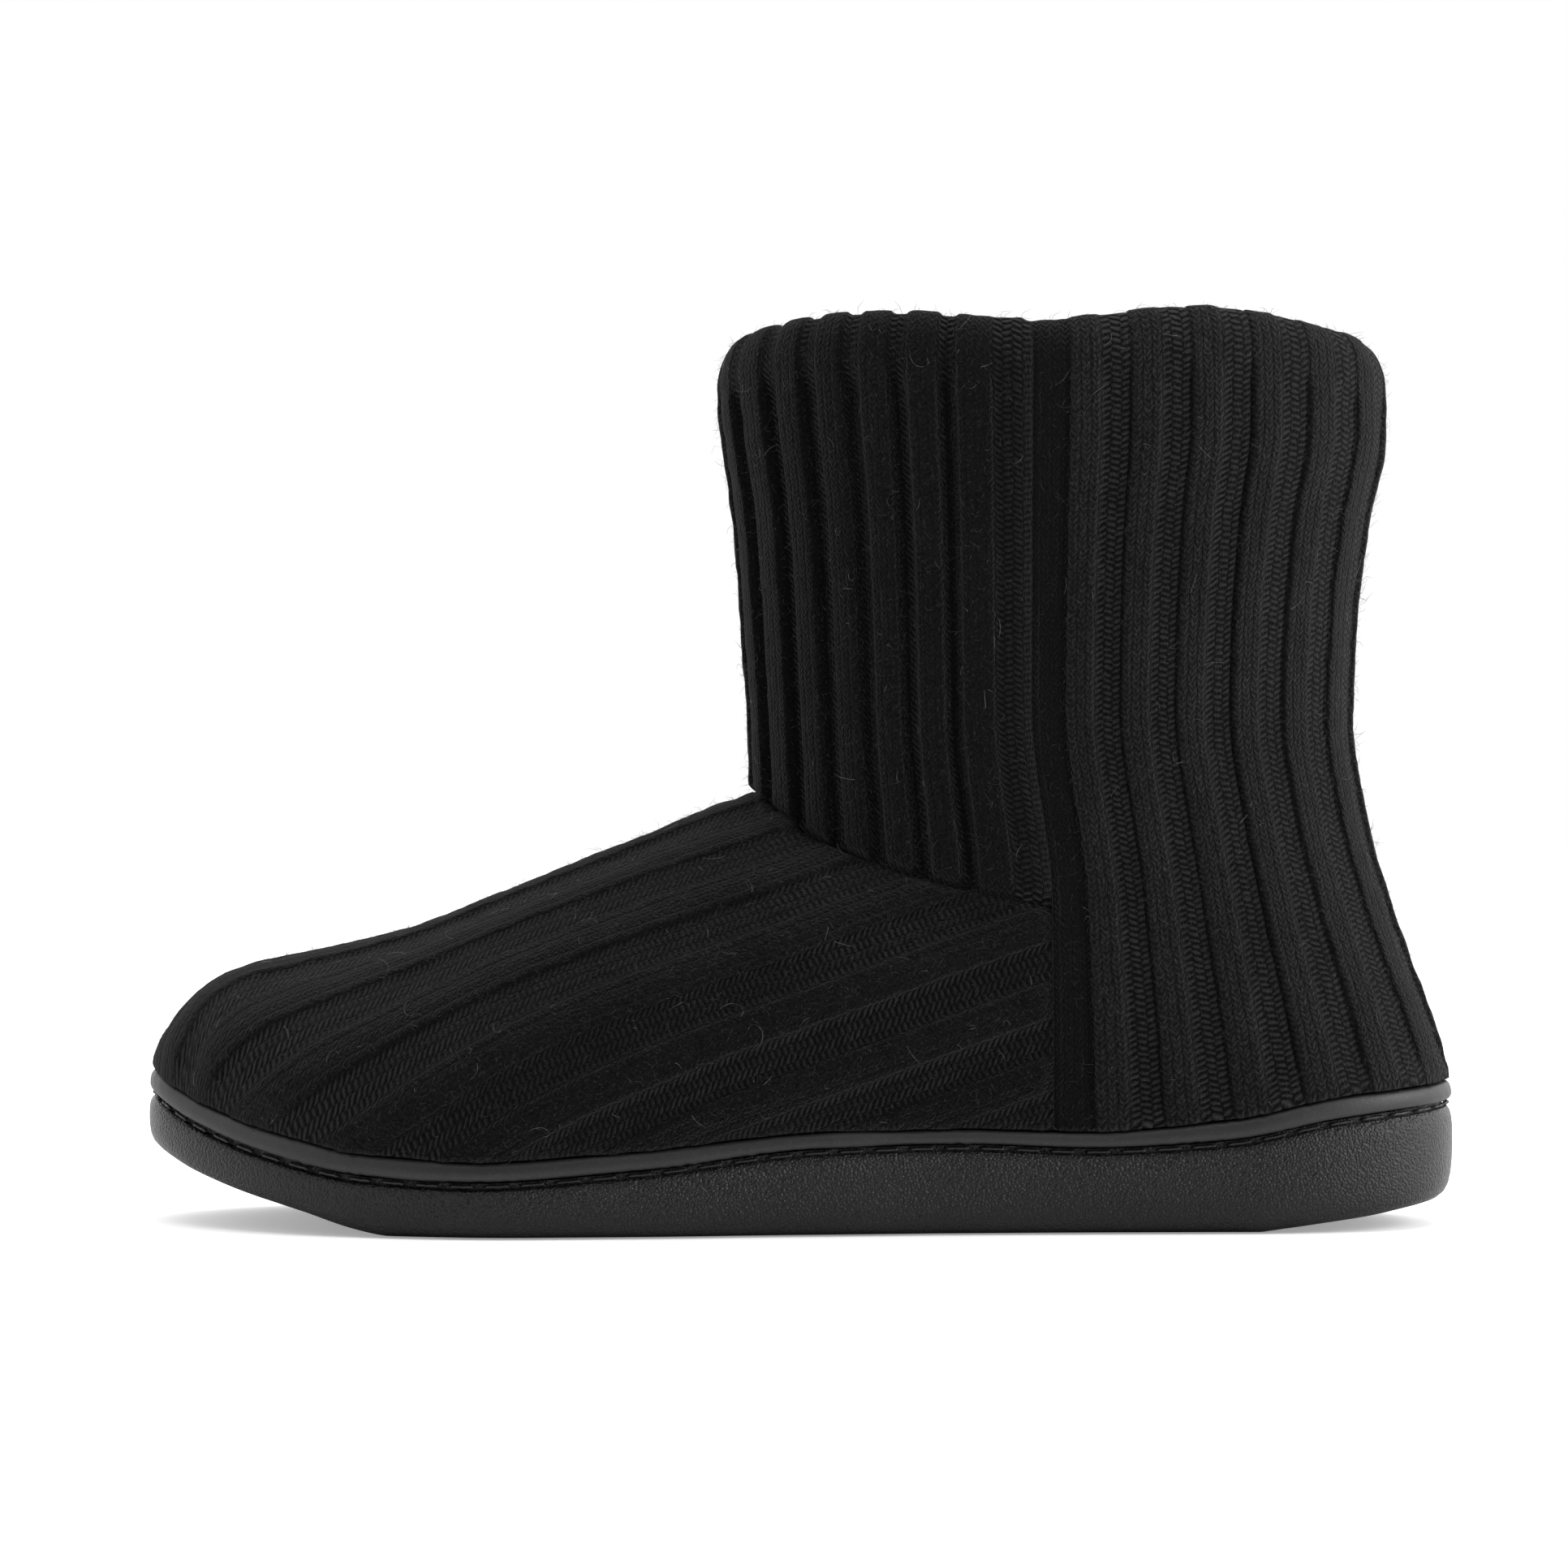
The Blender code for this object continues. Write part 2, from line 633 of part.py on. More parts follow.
def vamp_grid(vamp):
    """One side's columns from the binding corner up the side seam and along the instep seam."""
    count = FRONT_RIBS_A_SIDE * COLUMNS_A_RIB
    crease = crease_points(ring_angles(count, True), vamp.side)
    covered = COVERED_GIRTH * (1 - np.arange(count + 1) / count)
    crease_ribs = covered / vamp.pitch(crease[:, 0])
    x = np.linspace(vamp.tip, vamp.seam, RIB_SAMPLES)
    junction_end = np.interp(crease_ribs[0], vamp.rib_at(x, 0), x)
    ends = np.linspace(vamp.seam, junction_end, SEAM_ROWS + 1)[:-1]
    seam_ribs = vamp.rib_at(ends, 0)
    at_seam = np.full(SEAM_ROWS, vamp.seam)
    seam = vamp.point(at_seam, vamp.full_girth(at_seam) - seam_ribs * vamp.pitch(at_seam))
    starts = np.concatenate([seam, crease])
    ribs = np.concatenate([seam_ribs, crease_ribs])
    columns = []
    for point, rib in zip(starts, ribs):
        columns.append(vamp.column(float(point[0]), float(rib)))
        columns[-1][0] = point
    columns[0][:] = columns[0][0]
    return np.array(columns), ribs


def shaft_levels(count):
    """Shares of the shaft's height above the junction: one row close to the seam, then even."""
    return np.concatenate([[0], np.linspace(SHAFT_FIRST_ROW, 1, count)])


def front_grid(side):
    """The shaft's front panel on one side: columns from the side seam to the front middle."""
    angles = ring_angles(FRONT_RIBS_A_SIDE * COLUMNS_A_RIB, True)
    bottoms = crease_points(angles, side)
    around = 1 - np.linspace(0, 1, len(angles))
    tops = crest_height(around) - COLLAR_ROLL_HEIGHT
    levels = shaft_levels(SHAFT_ROWS)
    z = bottoms[:, 2:3] + (tops[:, None] - bottoms[:, 2:3]) * levels[None, :]
    grid = shaft_point(angles[:, None], side, True, z)
    grid[:, 0] = bottoms
    return grid


def back_grid(side, seam_points, front_seam):
    """The heel panel on one side: columns from the side seam to the back middle."""
    angles = ring_angles(BACK_RIBS_A_SIDE * COLUMNS_A_RIB, False)
    edge = np.concatenate([seam_points, front_seam[1:]])
    line, line_share = edge_line(side, UPPER_FROM_EDGE)
    base = np.column_stack([line, base_height(line_share)])
    behind = base[base[:, 0] > edge[0, 0]]
    base = resample(np.concatenate([edge[:1], behind]), np.linspace(0, 1, len(angles)))
    around = np.linspace(0, 1, len(angles))
    crest = crest_height(1 + around) - COLLAR_ROLL_HEIGHT
    at_seam = (edge[:, 2] - edge[0, 2]) / (edge[-1, 2] - edge[0, 2])
    middle = (JUNCTION_HEIGHT - base[-1, 2]) / (crest[-1] - base[-1, 2])
    below = np.linspace(0, middle, SEAM_ROWS + 1)
    at_middle = np.concatenate([below, middle + (1 - middle) * shaft_levels(SHAFT_ROWS)[1:]])
    level = at_seam + (at_middle - at_seam) * around[:, None]
    z = base[:, 2:3] + (crest - base[:, 2])[:, None] * level
    grid = shaft_point(
        angles[:, None], side, False, z, np.abs(edge[:, 1])[None, :], edge[:, 0][None, :]
    )
    shift = base - grid[:, 0]
    grid = grid + shift[:, None, :] * ((1 - level) ** HEEL_BLEND_POWER)[..., None]
    grid[0] = edge
    grid[:, 0] = base
    return grid


def panel_rise(grid, rib_height, valleys, edge_rows):
    """How far each point of a shaft panel stands out: ribs by column, and nothing on its seams."""
    columns, rows = grid.shape[:2]
    rise = np.full((columns, rows), PANEL_RISE)
    ribbed = [i for i in range(columns) if i % COLUMNS_A_RIB not in valleys]
    rise[ribbed] += rib_height
    rise[0] = 0
    rise[:, edge_rows] = 0
    return rise


def vamp_rise(ribs):
    """How far each point of the foot's knit stands out: bands by rib number, nothing on the seams."""
    wave = 0.5 - 0.5 * np.cos(2 * math.pi * (ribs - RIB_PHASE))
    rise = PANEL_RISE + VAMP_RIB_HEIGHT * ease((wave - BAND_FROM) / (BAND_TO - BAND_FROM))
    rise = np.repeat(rise[:, None], VAMP_ROWS + 1, 1)
    rise[0], rise[:, 0], rise[:, -1] = 0, 0, 0
    return rise


class Knit:
    """Collects the knit's wall: base points, how far each stands out, and faces."""

    def __init__(self):
        self.points, self.rise, self.faces = [], [], []

    def add(self, grid, rise, flip):
        """Adds a grid of columns by rows."""
        columns, rows = grid.shape[:2]
        first = sum(len(p) for p in self.points)
        numbers = first + np.arange(columns * rows).reshape(columns, rows)
        self.points.append(grid.reshape(-1, 3))
        self.rise.append(rise.reshape(-1))
        for i in range(columns - 1):
            for k in range(rows - 1):
                a = first + i * rows + k
                face = (a, a + 1, a + rows + 1, a + rows)
                self.faces.append(face[::-1] if flip else face)
        return numbers

    def welded(self):
        """The grids as one open surface, with shared seams merged, its rises and unit normals."""
        points, rise = np.concatenate(self.points), np.concatenate(self.rise)
        keys, index = {}, np.zeros(len(points), int)
        for i, p in enumerate(np.round(points, 7)):
            index[i] = keys.setdefault(tuple(p), len(keys))
        flat = np.zeros((len(keys), 3))
        flat[index] = points
        height = np.full(len(keys), np.inf)
        np.minimum.at(height, index, rise)
        faces = []
        for face in self.faces:
            corners = list(dict.fromkeys(int(index[v]) for v in face))
            if len(corners) > 2:
                faces.append(corners)
        normal = np.zeros_like(flat)
        for face in faces:
            p = flat[face]
            normal[face] += np.cross(p[2] - p[0], p[-1] - p[1])
        normal /= np.maximum(np.linalg.norm(normal, axis=1), 1e-12)[:, None]
        return flat, height, normal, faces, index


def tucked(points, side, inset, lift):
    """Points of the knit's lower edge carried inwards to an inset, at a lift above the sole's edge."""
    line, s = edge_line(side, UPPER_FROM_EDGE)
    target, _ = edge_line(side, inset)
    start, step = line[:-1], np.diff(line, axis=0)
    result = []
    for point in points:
        t = ((point[:2] - start) * step).sum(1) / (step**2).sum(1)
        t = np.clip(t, 0, 1)
        i = np.argmin(np.linalg.norm(start + t[:, None] * step - point[:2], axis=1))
        x, y = target[i] + t[i] * (target[i + 1] - target[i])
        along = s[i] + t[i] * (s[i + 1] - s[i])
        result.append((x, y, float(edge_height(along)) + lift(along)))
    return np.array(result)


def around_loop(ends):
    """One closed loop of vertex numbers from each side's open run, both from front to back."""
    outer, inner = ends[OUTER], ends[INNER]
    return np.concatenate([outer, inner[-2:0:-1]])


def strip_faces(first, second):
    """Quads between two closed loops of vertex numbers."""
    count = len(first)
    return [
        (first[i], first[(i + 1) % count], second[(i + 1) % count], second[i])
        for i in range(count)
    ]


class Shell:
    """The knit's closed wall: outer and inner points, and faces between them."""

    def __init__(self, outer, inner, faces):
        count = len(outer)
        self.points = [*outer, *inner]
        self.faces = [tuple(face) for face in faces]
        self.faces += [tuple(v + count for v in reversed(face)) for face in faces]
        self.count = count

    def add_loop(self, points):
        """Adds a loop of new points and returns their numbers."""
        first = len(self.points)
        self.points += list(points)
        return np.arange(first, first + len(points))

    def close(self, loops):
        """Faces through a row of loops, the first and last of which are on the shell already."""
        for first, second in zip(loops, loops[1:]):
            self.faces += strip_faces(first, second)


def collar_loops(shell, loop, outward, rise):
    """The turned-in hem of the collar: loops over its crest, from the outer wall to the inner."""
    base = np.array([shell.points[v] for v in loop])
    half = ((COLLAR_THICKNESS + rise) / 2)[:, None] * outward
    for v, p in zip(loop, base - 2 * half):
        shell.points[v + shell.count] = p
    loops = [loop]
    turns = np.linspace(0, math.pi, 2 * ROLL_ROWS + 1)[1:-1]
    for turn in turns:
        up = np.array([0, 0, COLLAR_ROLL_HEIGHT * math.sin(turn)])
        loops.append(shell.add_loop(base - half * (1 - math.cos(turn)) + up))
    return loops + [loop + shell.count]


def make_upper(material):
    """The knit boot: one hollow wall of foot, front and heel panels, open at collar and underneath."""
    knit = Knit()
    tops, bases, hems = {}, {}, {}
    for side in (OUTER, INNER):
        vamp = Vamp(side)
        foot, ribs = vamp_grid(vamp)
        front = front_grid(side)
        back = back_grid(side, foot[: SEAM_ROWS + 1, 0], front[0])
        mirrored = side == INNER
        foot_ids = knit.add(foot, vamp_rise(ribs), not mirrored)
        front_rise = panel_rise(front, FRONT_RIB_HEIGHT, FRONT_VALLEYS, [0])
        front_ids = knit.add(front, front_rise, mirrored)
        back_rise = panel_rise(back, BACK_RIB_HEIGHT, BACK_VALLEYS, [0])
        back_ids = knit.add(back, back_rise, not mirrored)
        tops[side] = np.concatenate([front_ids[::-1, -1], back_ids[1:, -1]])
        bases[side] = np.concatenate([foot_ids[::-1, -1], back_ids[1:, 0]])
        line = np.concatenate([foot[::-1, -1], back[1:, 0]])
        inset = BINDING_FROM_EDGE + BINDING_WIDTH + HEM_GAP
        for depth in (0, WALL):
            for lift in (lambda s: 2 * FIT_GAP + float(strip_height(s)), lambda s: FIT_GAP):
                hems.setdefault(side, []).append(tucked(line, side, inset + depth, lift))
    flat, rise, normal, faces, index = knit.welded()
    outer = flat + normal * rise[:, None]
    inner = flat - normal * WALL
    shell = Shell(outer, inner, faces)

    top = index[around_loop(tops)]
    outward = normal[top] * (1, 1, 0)
    outward /= np.linalg.norm(outward, axis=1)[:, None]
    shell.close(collar_loops(shell, top, outward, rise[top]))

    base = index[around_loop(bases)]
    high, low, high_inside, low_inside = (
        shell.add_loop(np.concatenate([hems[OUTER][k], hems[INNER][k][-2:0:-1]])) for k in range(4)
    )
    shell.close([base, high, low, low_inside, high_inside, base + shell.count])
    return new_object("upper", shell.points, shell.faces, material)


def main():
    for thing in list(bpy.data.objects):
        bpy.data.objects.remove(thing, do_unlink=True)
    rubber = finish("outsole_black", (0.012, 0.012, 0.013), 0.55)
    vinyl = finish("binding_black", (0.016, 0.016, 0.017), 0.3)
    knit = finish("knit_black", (0.017, 0.017, 0.018), 0.95)
    plush = finish("insole_black", (0.022, 0.022, 0.023), 0.98)
    make_outsole(rubber)
    make_binding(vinyl)
    make_insole(plush)
    make_upper(knit)


main()
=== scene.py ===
"""The dressed model of a left ankle slipper in ribbed knit on a moulded sole, toe towards -X.

Sizes are in metres. The outer side of the foot is towards -Y, where the camera stands.
"""
import logging
import math
from dataclasses import dataclass
from enum import Enum
from typing import Callable, NamedTuple, Sequence

import bpy
import numpy as np
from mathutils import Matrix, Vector


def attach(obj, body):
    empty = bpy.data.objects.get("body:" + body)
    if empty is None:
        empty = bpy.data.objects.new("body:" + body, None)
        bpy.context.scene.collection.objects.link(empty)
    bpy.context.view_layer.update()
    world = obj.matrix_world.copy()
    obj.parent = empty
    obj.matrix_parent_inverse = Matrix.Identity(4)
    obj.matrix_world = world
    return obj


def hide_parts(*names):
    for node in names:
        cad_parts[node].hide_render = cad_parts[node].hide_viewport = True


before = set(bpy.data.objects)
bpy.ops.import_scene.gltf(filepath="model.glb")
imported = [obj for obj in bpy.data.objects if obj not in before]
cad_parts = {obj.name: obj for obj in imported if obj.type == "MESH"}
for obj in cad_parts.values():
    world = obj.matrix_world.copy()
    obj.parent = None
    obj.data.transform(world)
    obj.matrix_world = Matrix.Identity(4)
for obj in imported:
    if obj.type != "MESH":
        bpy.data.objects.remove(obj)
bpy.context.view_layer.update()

LOG = logging.getLogger("slipper")
MM = 0.001
BODY = "root"
QUARTER = math.pi / 2
Points = np.ndarray


class Side(Enum):
    """The two sides of the foot, by the sign of y."""

    OUTER = -1
    INNER = 1


class Slot(Enum):
    """The record's material slots, by the solid that carries them."""

    KNIT = "upper"
    STRIP = "binding"
    SOLE = "outsole"
    BED = "insole"


# Curves that the shapes are read from

class OutlineRow(NamedTuple):
    """Sole outline: along the sole from the toe, then centre and half as shares of the ball width."""

    along: float
    centre: float
    half: float


class SoleRow(NamedTuple):
    """Sole heights along the foot: edge, spring, bed and strip, as shares of their own sizes."""

    along: float
    edge: float
    spring: float
    bed: float
    strip: float


class ShaftRow(NamedTuple):
    """Shaft ring at a share of the shaft height: front and back reach and width."""

    up: float
    front: float
    back: float
    width: float


class CurveRow(NamedTuple):
    """One point of a plain curve."""

    at: float
    value: float


OUTLINE = tuple(OutlineRow(*row) for row in (
    (0.00, 0.000, 0.460), (0.12, -0.014, 0.490), (0.25, -0.006, 0.500), (0.33, -0.015, 0.477),
    (0.42, -0.034, 0.432), (0.52, -0.034, 0.391), (0.62, -0.022, 0.368), (0.74, -0.008, 0.361),
    (0.86, 0.000, 0.360), (1.00, 0.000, 0.358),
))
SOLE = tuple(SoleRow(*row) for row in (
    (0.00, 1.062, 1.14, 0.46, 0.95), (0.04, 0.846, 0.71, 0.45, 1.02), (0.10, 0.631, 0.31, 0.43, 1.07),
    (0.18, 0.469, 0.00, 0.42, 1.00), (0.26, 0.435, 0.00, 0.42, 0.93), (0.38, 0.519, 0.00, 0.50, 0.90),
    (0.52, 0.681, 0.00, 0.75, 0.75), (0.62, 0.708, 0.00, 0.88, 0.68), (0.72, 0.673, 0.00, 0.95, 0.74),
    (0.82, 0.731, 0.00, 1.00, 0.93), (0.90, 0.885, 0.07, 0.93, 1.00), (1.00, 1.000, 0.34, 0.66, 0.90),
))
SHAFT = tuple(ShaftRow(*row) for row in (
    (0.10, 0.870, 1.160, 0.930), (0.24, 0.870, 1.083, 0.940), (0.35, 0.872, 1.004, 0.930),
    (0.46, 0.876, 0.936, 0.905), (0.57, 0.886, 0.902, 0.890), (0.68, 0.905, 0.914, 0.905),
    (0.80, 0.932, 0.948, 0.945), (0.90, 0.972, 0.994, 0.985), (0.98, 1.000, 0.992, 1.000),
))
# Height of the ridge from the knit's tip to the shaft's corner, as a share of the instep height.
RIDGE = tuple(CurveRow(*row) for row in (
    (0.00, 0.540), (0.12, 0.580), (0.25, 0.616), (0.42, 0.673),
    (0.59, 0.767), (0.76, 0.864), (0.91, 0.952), (1.00, 1.000),
))
# The instep seam from the front corner to the side seam.
CREASE = tuple(CurveRow(*row) for row in (
    (0.00, 1.000), (0.15, 0.671), (0.27, 0.513), (0.41, 0.387), (0.59, 0.230), (0.76, 0.122), (1.00, 0.0),
))
# The collar's crest: at 0 in front, 1 at the side seam, 2 behind.
RIM = tuple(CurveRow(*row) for row in (
    (0.0, 0.15), (0.6, 0.80), (1.0, 0.54), (1.4, 1.00), (1.75, 0.46), (2.0, 0.00),
))
# How far the sole's lower edge hangs below its underside along the foot, in millimetres. Below zero
# the whole underside is lifted.
EDGE_DROP = tuple(CurveRow(*row) for row in (
    (0.00, -0.6), (0.03, -1.2), (0.08, -1.4), (0.125, -1.2), (0.165, 0.0), (0.196, 1.3), (0.25, 2.2),
    (0.80, 2.2), (0.868, 0.7), (0.92, 0.0), (1.00, 0.0),
))
# Ribs of the vamp counted from the ridge down to the binding, along the foot.
RIB_COUNT = tuple(CurveRow(*row) for row in (
    (0.0050, 0.0), (0.0364, 1.0), (0.0647, 2.0), (0.1265, 3.0), (0.2120, 4.0),
    (0.3160, 5.0), (0.4855, 6.0), (0.6540, 6.8), (0.6900, 7.02),
))


def smooth(table: Sequence, column: str, at: Points | float) -> Points:
    """Reads a column of a table as a monotone cubic curve.

    Args:
        table: rows whose first value is where the row lies.
        column: name of the column that is read.
        at: where the curve is read.

    Returns:
        The curve's values.
    """
    x = np.array([row[0] for row in table])
    y = np.array([getattr(row, column) for row in table])
    step, rise = np.diff(x), np.diff(y)
    chord = rise / step
    slope = np.concatenate(([chord[0]], np.zeros(len(x) - 2), [chord[-1]]))
    for i in range(1, len(x) - 1):
        if chord[i - 1] * chord[i] > 0:
            before, after = 2 * step[i] + step[i - 1], step[i] + 2 * step[i - 1]
            slope[i] = (before + after) / (before / chord[i - 1] + after / chord[i])
    at = np.clip(np.asarray(at, float), x[0], x[-1])
    i = np.clip(np.searchsorted(x, at) - 1, 0, len(x) - 2)
    t = (at - x[i]) / step[i]
    return (
        (1 + 2 * t) * (1 - t) ** 2 * y[i] + t * (1 - t) ** 2 * step[i] * slope[i]
        + t * t * (3 - 2 * t) * y[i + 1] + t * t * (t - 1) * step[i] * slope[i + 1]
    )


def ease(t: Points | float) -> Points:
    """A smooth step from 0 to 1."""
    t = np.clip(t, 0, 1)
    return t * t * (3 - 2 * t)


def rounding(t: Points | float, power: float = 2.25) -> Points:
    """A rounded end: 0 at the tip, 1 where the straight side begins."""
    t = np.clip(t, 0, 1)
    return (1 - (1 - t) ** power) ** (1 / power)


def running_length(points: Points) -> Points:
    """Length along lines of points, from 0, over the last axis but one."""
    steps = np.linalg.norm(np.diff(points, axis=-2), axis=-1)
    return np.concatenate([np.zeros(steps.shape[:-1] + (1,)), np.cumsum(steps, -1)], -1)


def resample(points: Points, shares: Points) -> Points:
    """Points at the given shares of a line's length.

    Args:
        points: the line, one row a point.
        shares: from 0 to 1 along it.

    Returns:
        One point for each share.
    """
    length = running_length(points)
    at = np.asarray(shares) * length[-1]
    return np.stack([np.interp(at, length, points[:, k]) for k in range(points.shape[1])], 1)


def lattice_noise(points: Points, cell: float, seed: int) -> Points:
    """Smooth noise from -1 to 1 at points in space.

    Args:
        points: places, one row each.
        cell: size of the noise's cells.
        seed: picks the pattern.

    Returns:
        One value for each point.
    """
    table = np.random.default_rng(seed).uniform(-1, 1, (32, 32, 32))
    q = points / cell + 100
    low = np.floor(q).astype(int)
    t = ease(q - low)
    total = np.zeros(len(points))
    for corner in range(8):
        bits = np.array([corner & 1, corner >> 1 & 1, corner >> 2 & 1])
        weight = np.prod(np.where(bits, t, 1 - t), axis=1)
        i, j, k = ((low + bits) % 32).T
        total += weight * table[i, j, k]
    return total


@dataclass(frozen=True)
class Last:
    """The sole's outline and heights, which every other piece is worked out from."""

    length: float = 0.275
    ball_width: float = 0.099
    heel_edge: float = 0.026
    toe_spring: float = 0.012
    bed: float = 0.012
    tread: float = 0.0012
    toe_round: float = 0.085
    heel_round: float = 0.046
    tip_inner: float = 0.009
    strip: float = 0.0042
    fit_gap: float = 0.0003
    samples: int = 1600

    def share(self, x: Points | float) -> Points:
        """Where x lies along the sole, from 0 at the toe to 1 at the heel."""
        return np.asarray(x) / self.length + 0.5

    def edge_height(self, s: Points) -> Points:
        """Top of the sole's rim."""
        return self.heel_edge * smooth(SOLE, "edge", s)

    def underside(self, s: Points) -> Points:
        """The sole's underside between its tread pads."""
        return self.tread + self.toe_spring * smooth(SOLE, "spring", s)

    def bed_height(self, s: Points) -> Points:
        """Floor of the sole's cup."""
        return self.underside(s) + self.bed * smooth(SOLE, "bed", s)

    def strip_height(self, s: Points) -> Points:
        """Height of the binding strip."""
        return self.strip * smooth(SOLE, "strip", s)

    def base_height(self, s: Points) -> Points:
        """Where the knit comes out above the binding."""
        return self.edge_height(s) + 2 * self.fit_gap + self.strip_height(s) + 0.0006

    def side_line(self, side: Side, inset: float) -> tuple[Points, Points]:
        """A line inside the outline on one side, from toe to heel.

        Args:
            side: the side of the foot.
            inset: how far inside the outline it runs.

        Returns:
            The line's x and y, and its shares along the sole.
        """
        turn = np.linspace(0, math.pi, self.samples)
        s = (1 - np.cos(turn)) / 2
        half = self.ball_width * smooth(OUTLINE, "half", s)
        half = half * rounding(s * self.length / self.toe_round)
        half = half * rounding((1 - s) * self.length / self.heel_round)
        centre = self.ball_width * smooth(OUTLINE, "centre", s)
        centre = centre + self.tip_inner * (1 - ease(s * self.length / self.toe_round))
        points = np.stack([(s - 0.5) * self.length, centre + side.value * half], 1)
        points = resample(points, np.linspace(0, 1, self.samples))
        along = np.gradient(points, axis=0)
        along[0], along[-1] = (0, side.value), (0, -side.value)
        normal = side.value * np.stack([-along[:, 1], along[:, 0]], 1)
        normal /= np.linalg.norm(normal, axis=1)[:, None]
        return points - inset * normal, self.share(points[:, 0])

    def ring(self, inset: float, count: int) -> Points:
        """A closed ring inside the outline: toe, outer side, heel, inner side.

        Args:
            inset: how far inside the outline it runs.
            count: how many points it has, an even number.

        Returns:
            Rows of x, y and the share along the sole.
        """
        parts = []
        for side in Side:
            line, s = self.side_line(side, inset)
            base, _ = self.side_line(side, 0)
            length = running_length(base)
            at = np.linspace(0, length[-1], count // 2 + 1)
            part = np.stack([np.interp(at, length, v) for v in (line[:, 0], line[:, 1], s)], 1)
            parts.append(part[:-1] if side is Side.OUTER else part[:0:-1])
        return np.concatenate(parts)


LAST = Last()


@dataclass(frozen=True)
class Shaft:
    """The rings of the shaft above the instep seam, and the collar's crest."""

    height: float = 0.184
    wave: float = 0.0065
    junction: float = 0.0671
    instep: float = 0.0893
    front: float = 0.0655
    back: float = 0.0768
    half_width: float = 0.0385
    seam_from_heel: float = 0.09
    seam_lean: float = 0.0042
    lean_height: float = 0.040
    ring_power: float = 2.2
    spacing_height: float = 0.129
    panel_rise: float = 0.0006
    front_rib: float = 0.0013
    back_rib: float = 0.0010
    rounds: int = 30

    def seam_x(self, z: Points | float) -> Points:
        """Where the side seam lies at a height."""
        lean = 1 - ease((np.asarray(z) - self.junction) / self.lean_height)
        return LAST.length / 2 - self.seam_from_heel + self.seam_lean * lean

    def point(
        self, angle: Points | float, side: Side, ahead: bool, z: Points | float,
        half_width: Points | None = None, seam: Points | None = None,
    ) -> Points:
        """Points on the shaft's ring.

        Args:
            angle: 0 at the side seam, a quarter turn at the front or back middle.
            side: the side of the foot.
            ahead: true for the front of the ring.
            z: height of each point.
            half_width: the ring's half width, where it isn't the shaft's own.
            seam: the seam's x, where it isn't the shaft's own.

        Returns:
            Points in space.
        """
        up = np.asarray(z) / self.height
        seam = self.seam_x(z) if seam is None else seam
        if half_width is None:
            half_width = self.half_width * smooth(SHAFT, "width", up) - self.panel_rise - self.back_rib
        top_seam = LAST.length / 2 - self.seam_from_heel
        if ahead:
            end = top_seam - self.front * smooth(SHAFT, "front", up) + self.panel_rise + self.front_rib
        else:
            end = top_seam + self.back * smooth(SHAFT, "back", up) - self.panel_rise - self.back_rib
        power = 2 / self.ring_power
        x = seam + (end - seam) * np.sin(angle) ** power
        y = side.value * half_width * np.cos(angle) ** power
        return np.stack(np.broadcast_arrays(x, y, np.asarray(z, float)), -1)

    def angles(self, shares: Points, ahead: bool) -> Points:
        """Ring angles at shares of a quarter ring's length.

        Args:
            shares: shares of the length, from the side seam.
            ahead: true for the front of the ring.

        Returns:
            The angle at each share.
        """
        angle = np.linspace(0, QUARTER, LAST.samples)
        length = running_length(self.point(angle, Side.OUTER, ahead, self.spacing_height))
        return np.interp(np.asarray(shares) * length[-1], length, angle)

    def crest(self, around: Points) -> Points:
        """The collar's crest, from 0 in front over 1 at the seam to 2 behind."""
        return self.height + self.wave * smooth(RIM, "value", around)

    def front_wall(self, side: Side, shares: Points, drop: float, rows: int) -> tuple[Points, Points]:
        """The front of the shaft on one side, from the instep seam up.

        Args:
            side: the side of the foot.
            shares: where the columns stand, from 0 at the side seam to 1 in front.
            drop: how far the top row lies below the collar's crest.
            rows: how many rows there are.

        Returns:
            The instep seam's points, and the wall's points, columns by rows.
        """
        angles = self.angles(shares, True)
        angles[-1] = QUARTER
        bottoms = self.crease(angles, side)
        tops = self.crest(1 - shares) - drop
        z = bottoms[:, 2:3] + (tops[:, None] - bottoms[:, 2:3]) * np.linspace(0, 1, rows)
        wall = self.point(angles[:, None], side, True, z)
        wall[:, 0] = bottoms
        return bottoms, wall

    def crease(self, angle: Points, side: Side) -> Points:
        """The instep seam on the shaft's front.

        Args:
            angle: ring angles from the side seam to the corner.
            side: the side of the foot.

        Returns:
            A point on the seam for each angle.
        """
        z = np.full(len(angle), (self.instep + self.junction) / 2)
        corner = self.point(QUARTER, side, True, self.instep)[0]
        for _ in range(self.rounds):
            x = self.point(angle, side, True, z)[:, 0]
            along = (x - corner) / (self.seam_x(self.junction) - corner)
            z = self.junction + (self.instep - self.junction) * smooth(CREASE, "value", along)
        points = self.point(angle, side, True, z)
        points[angle == QUARTER] = self.point(QUARTER, side, True, self.instep)
        return points


SHAFT_FORM = Shaft()


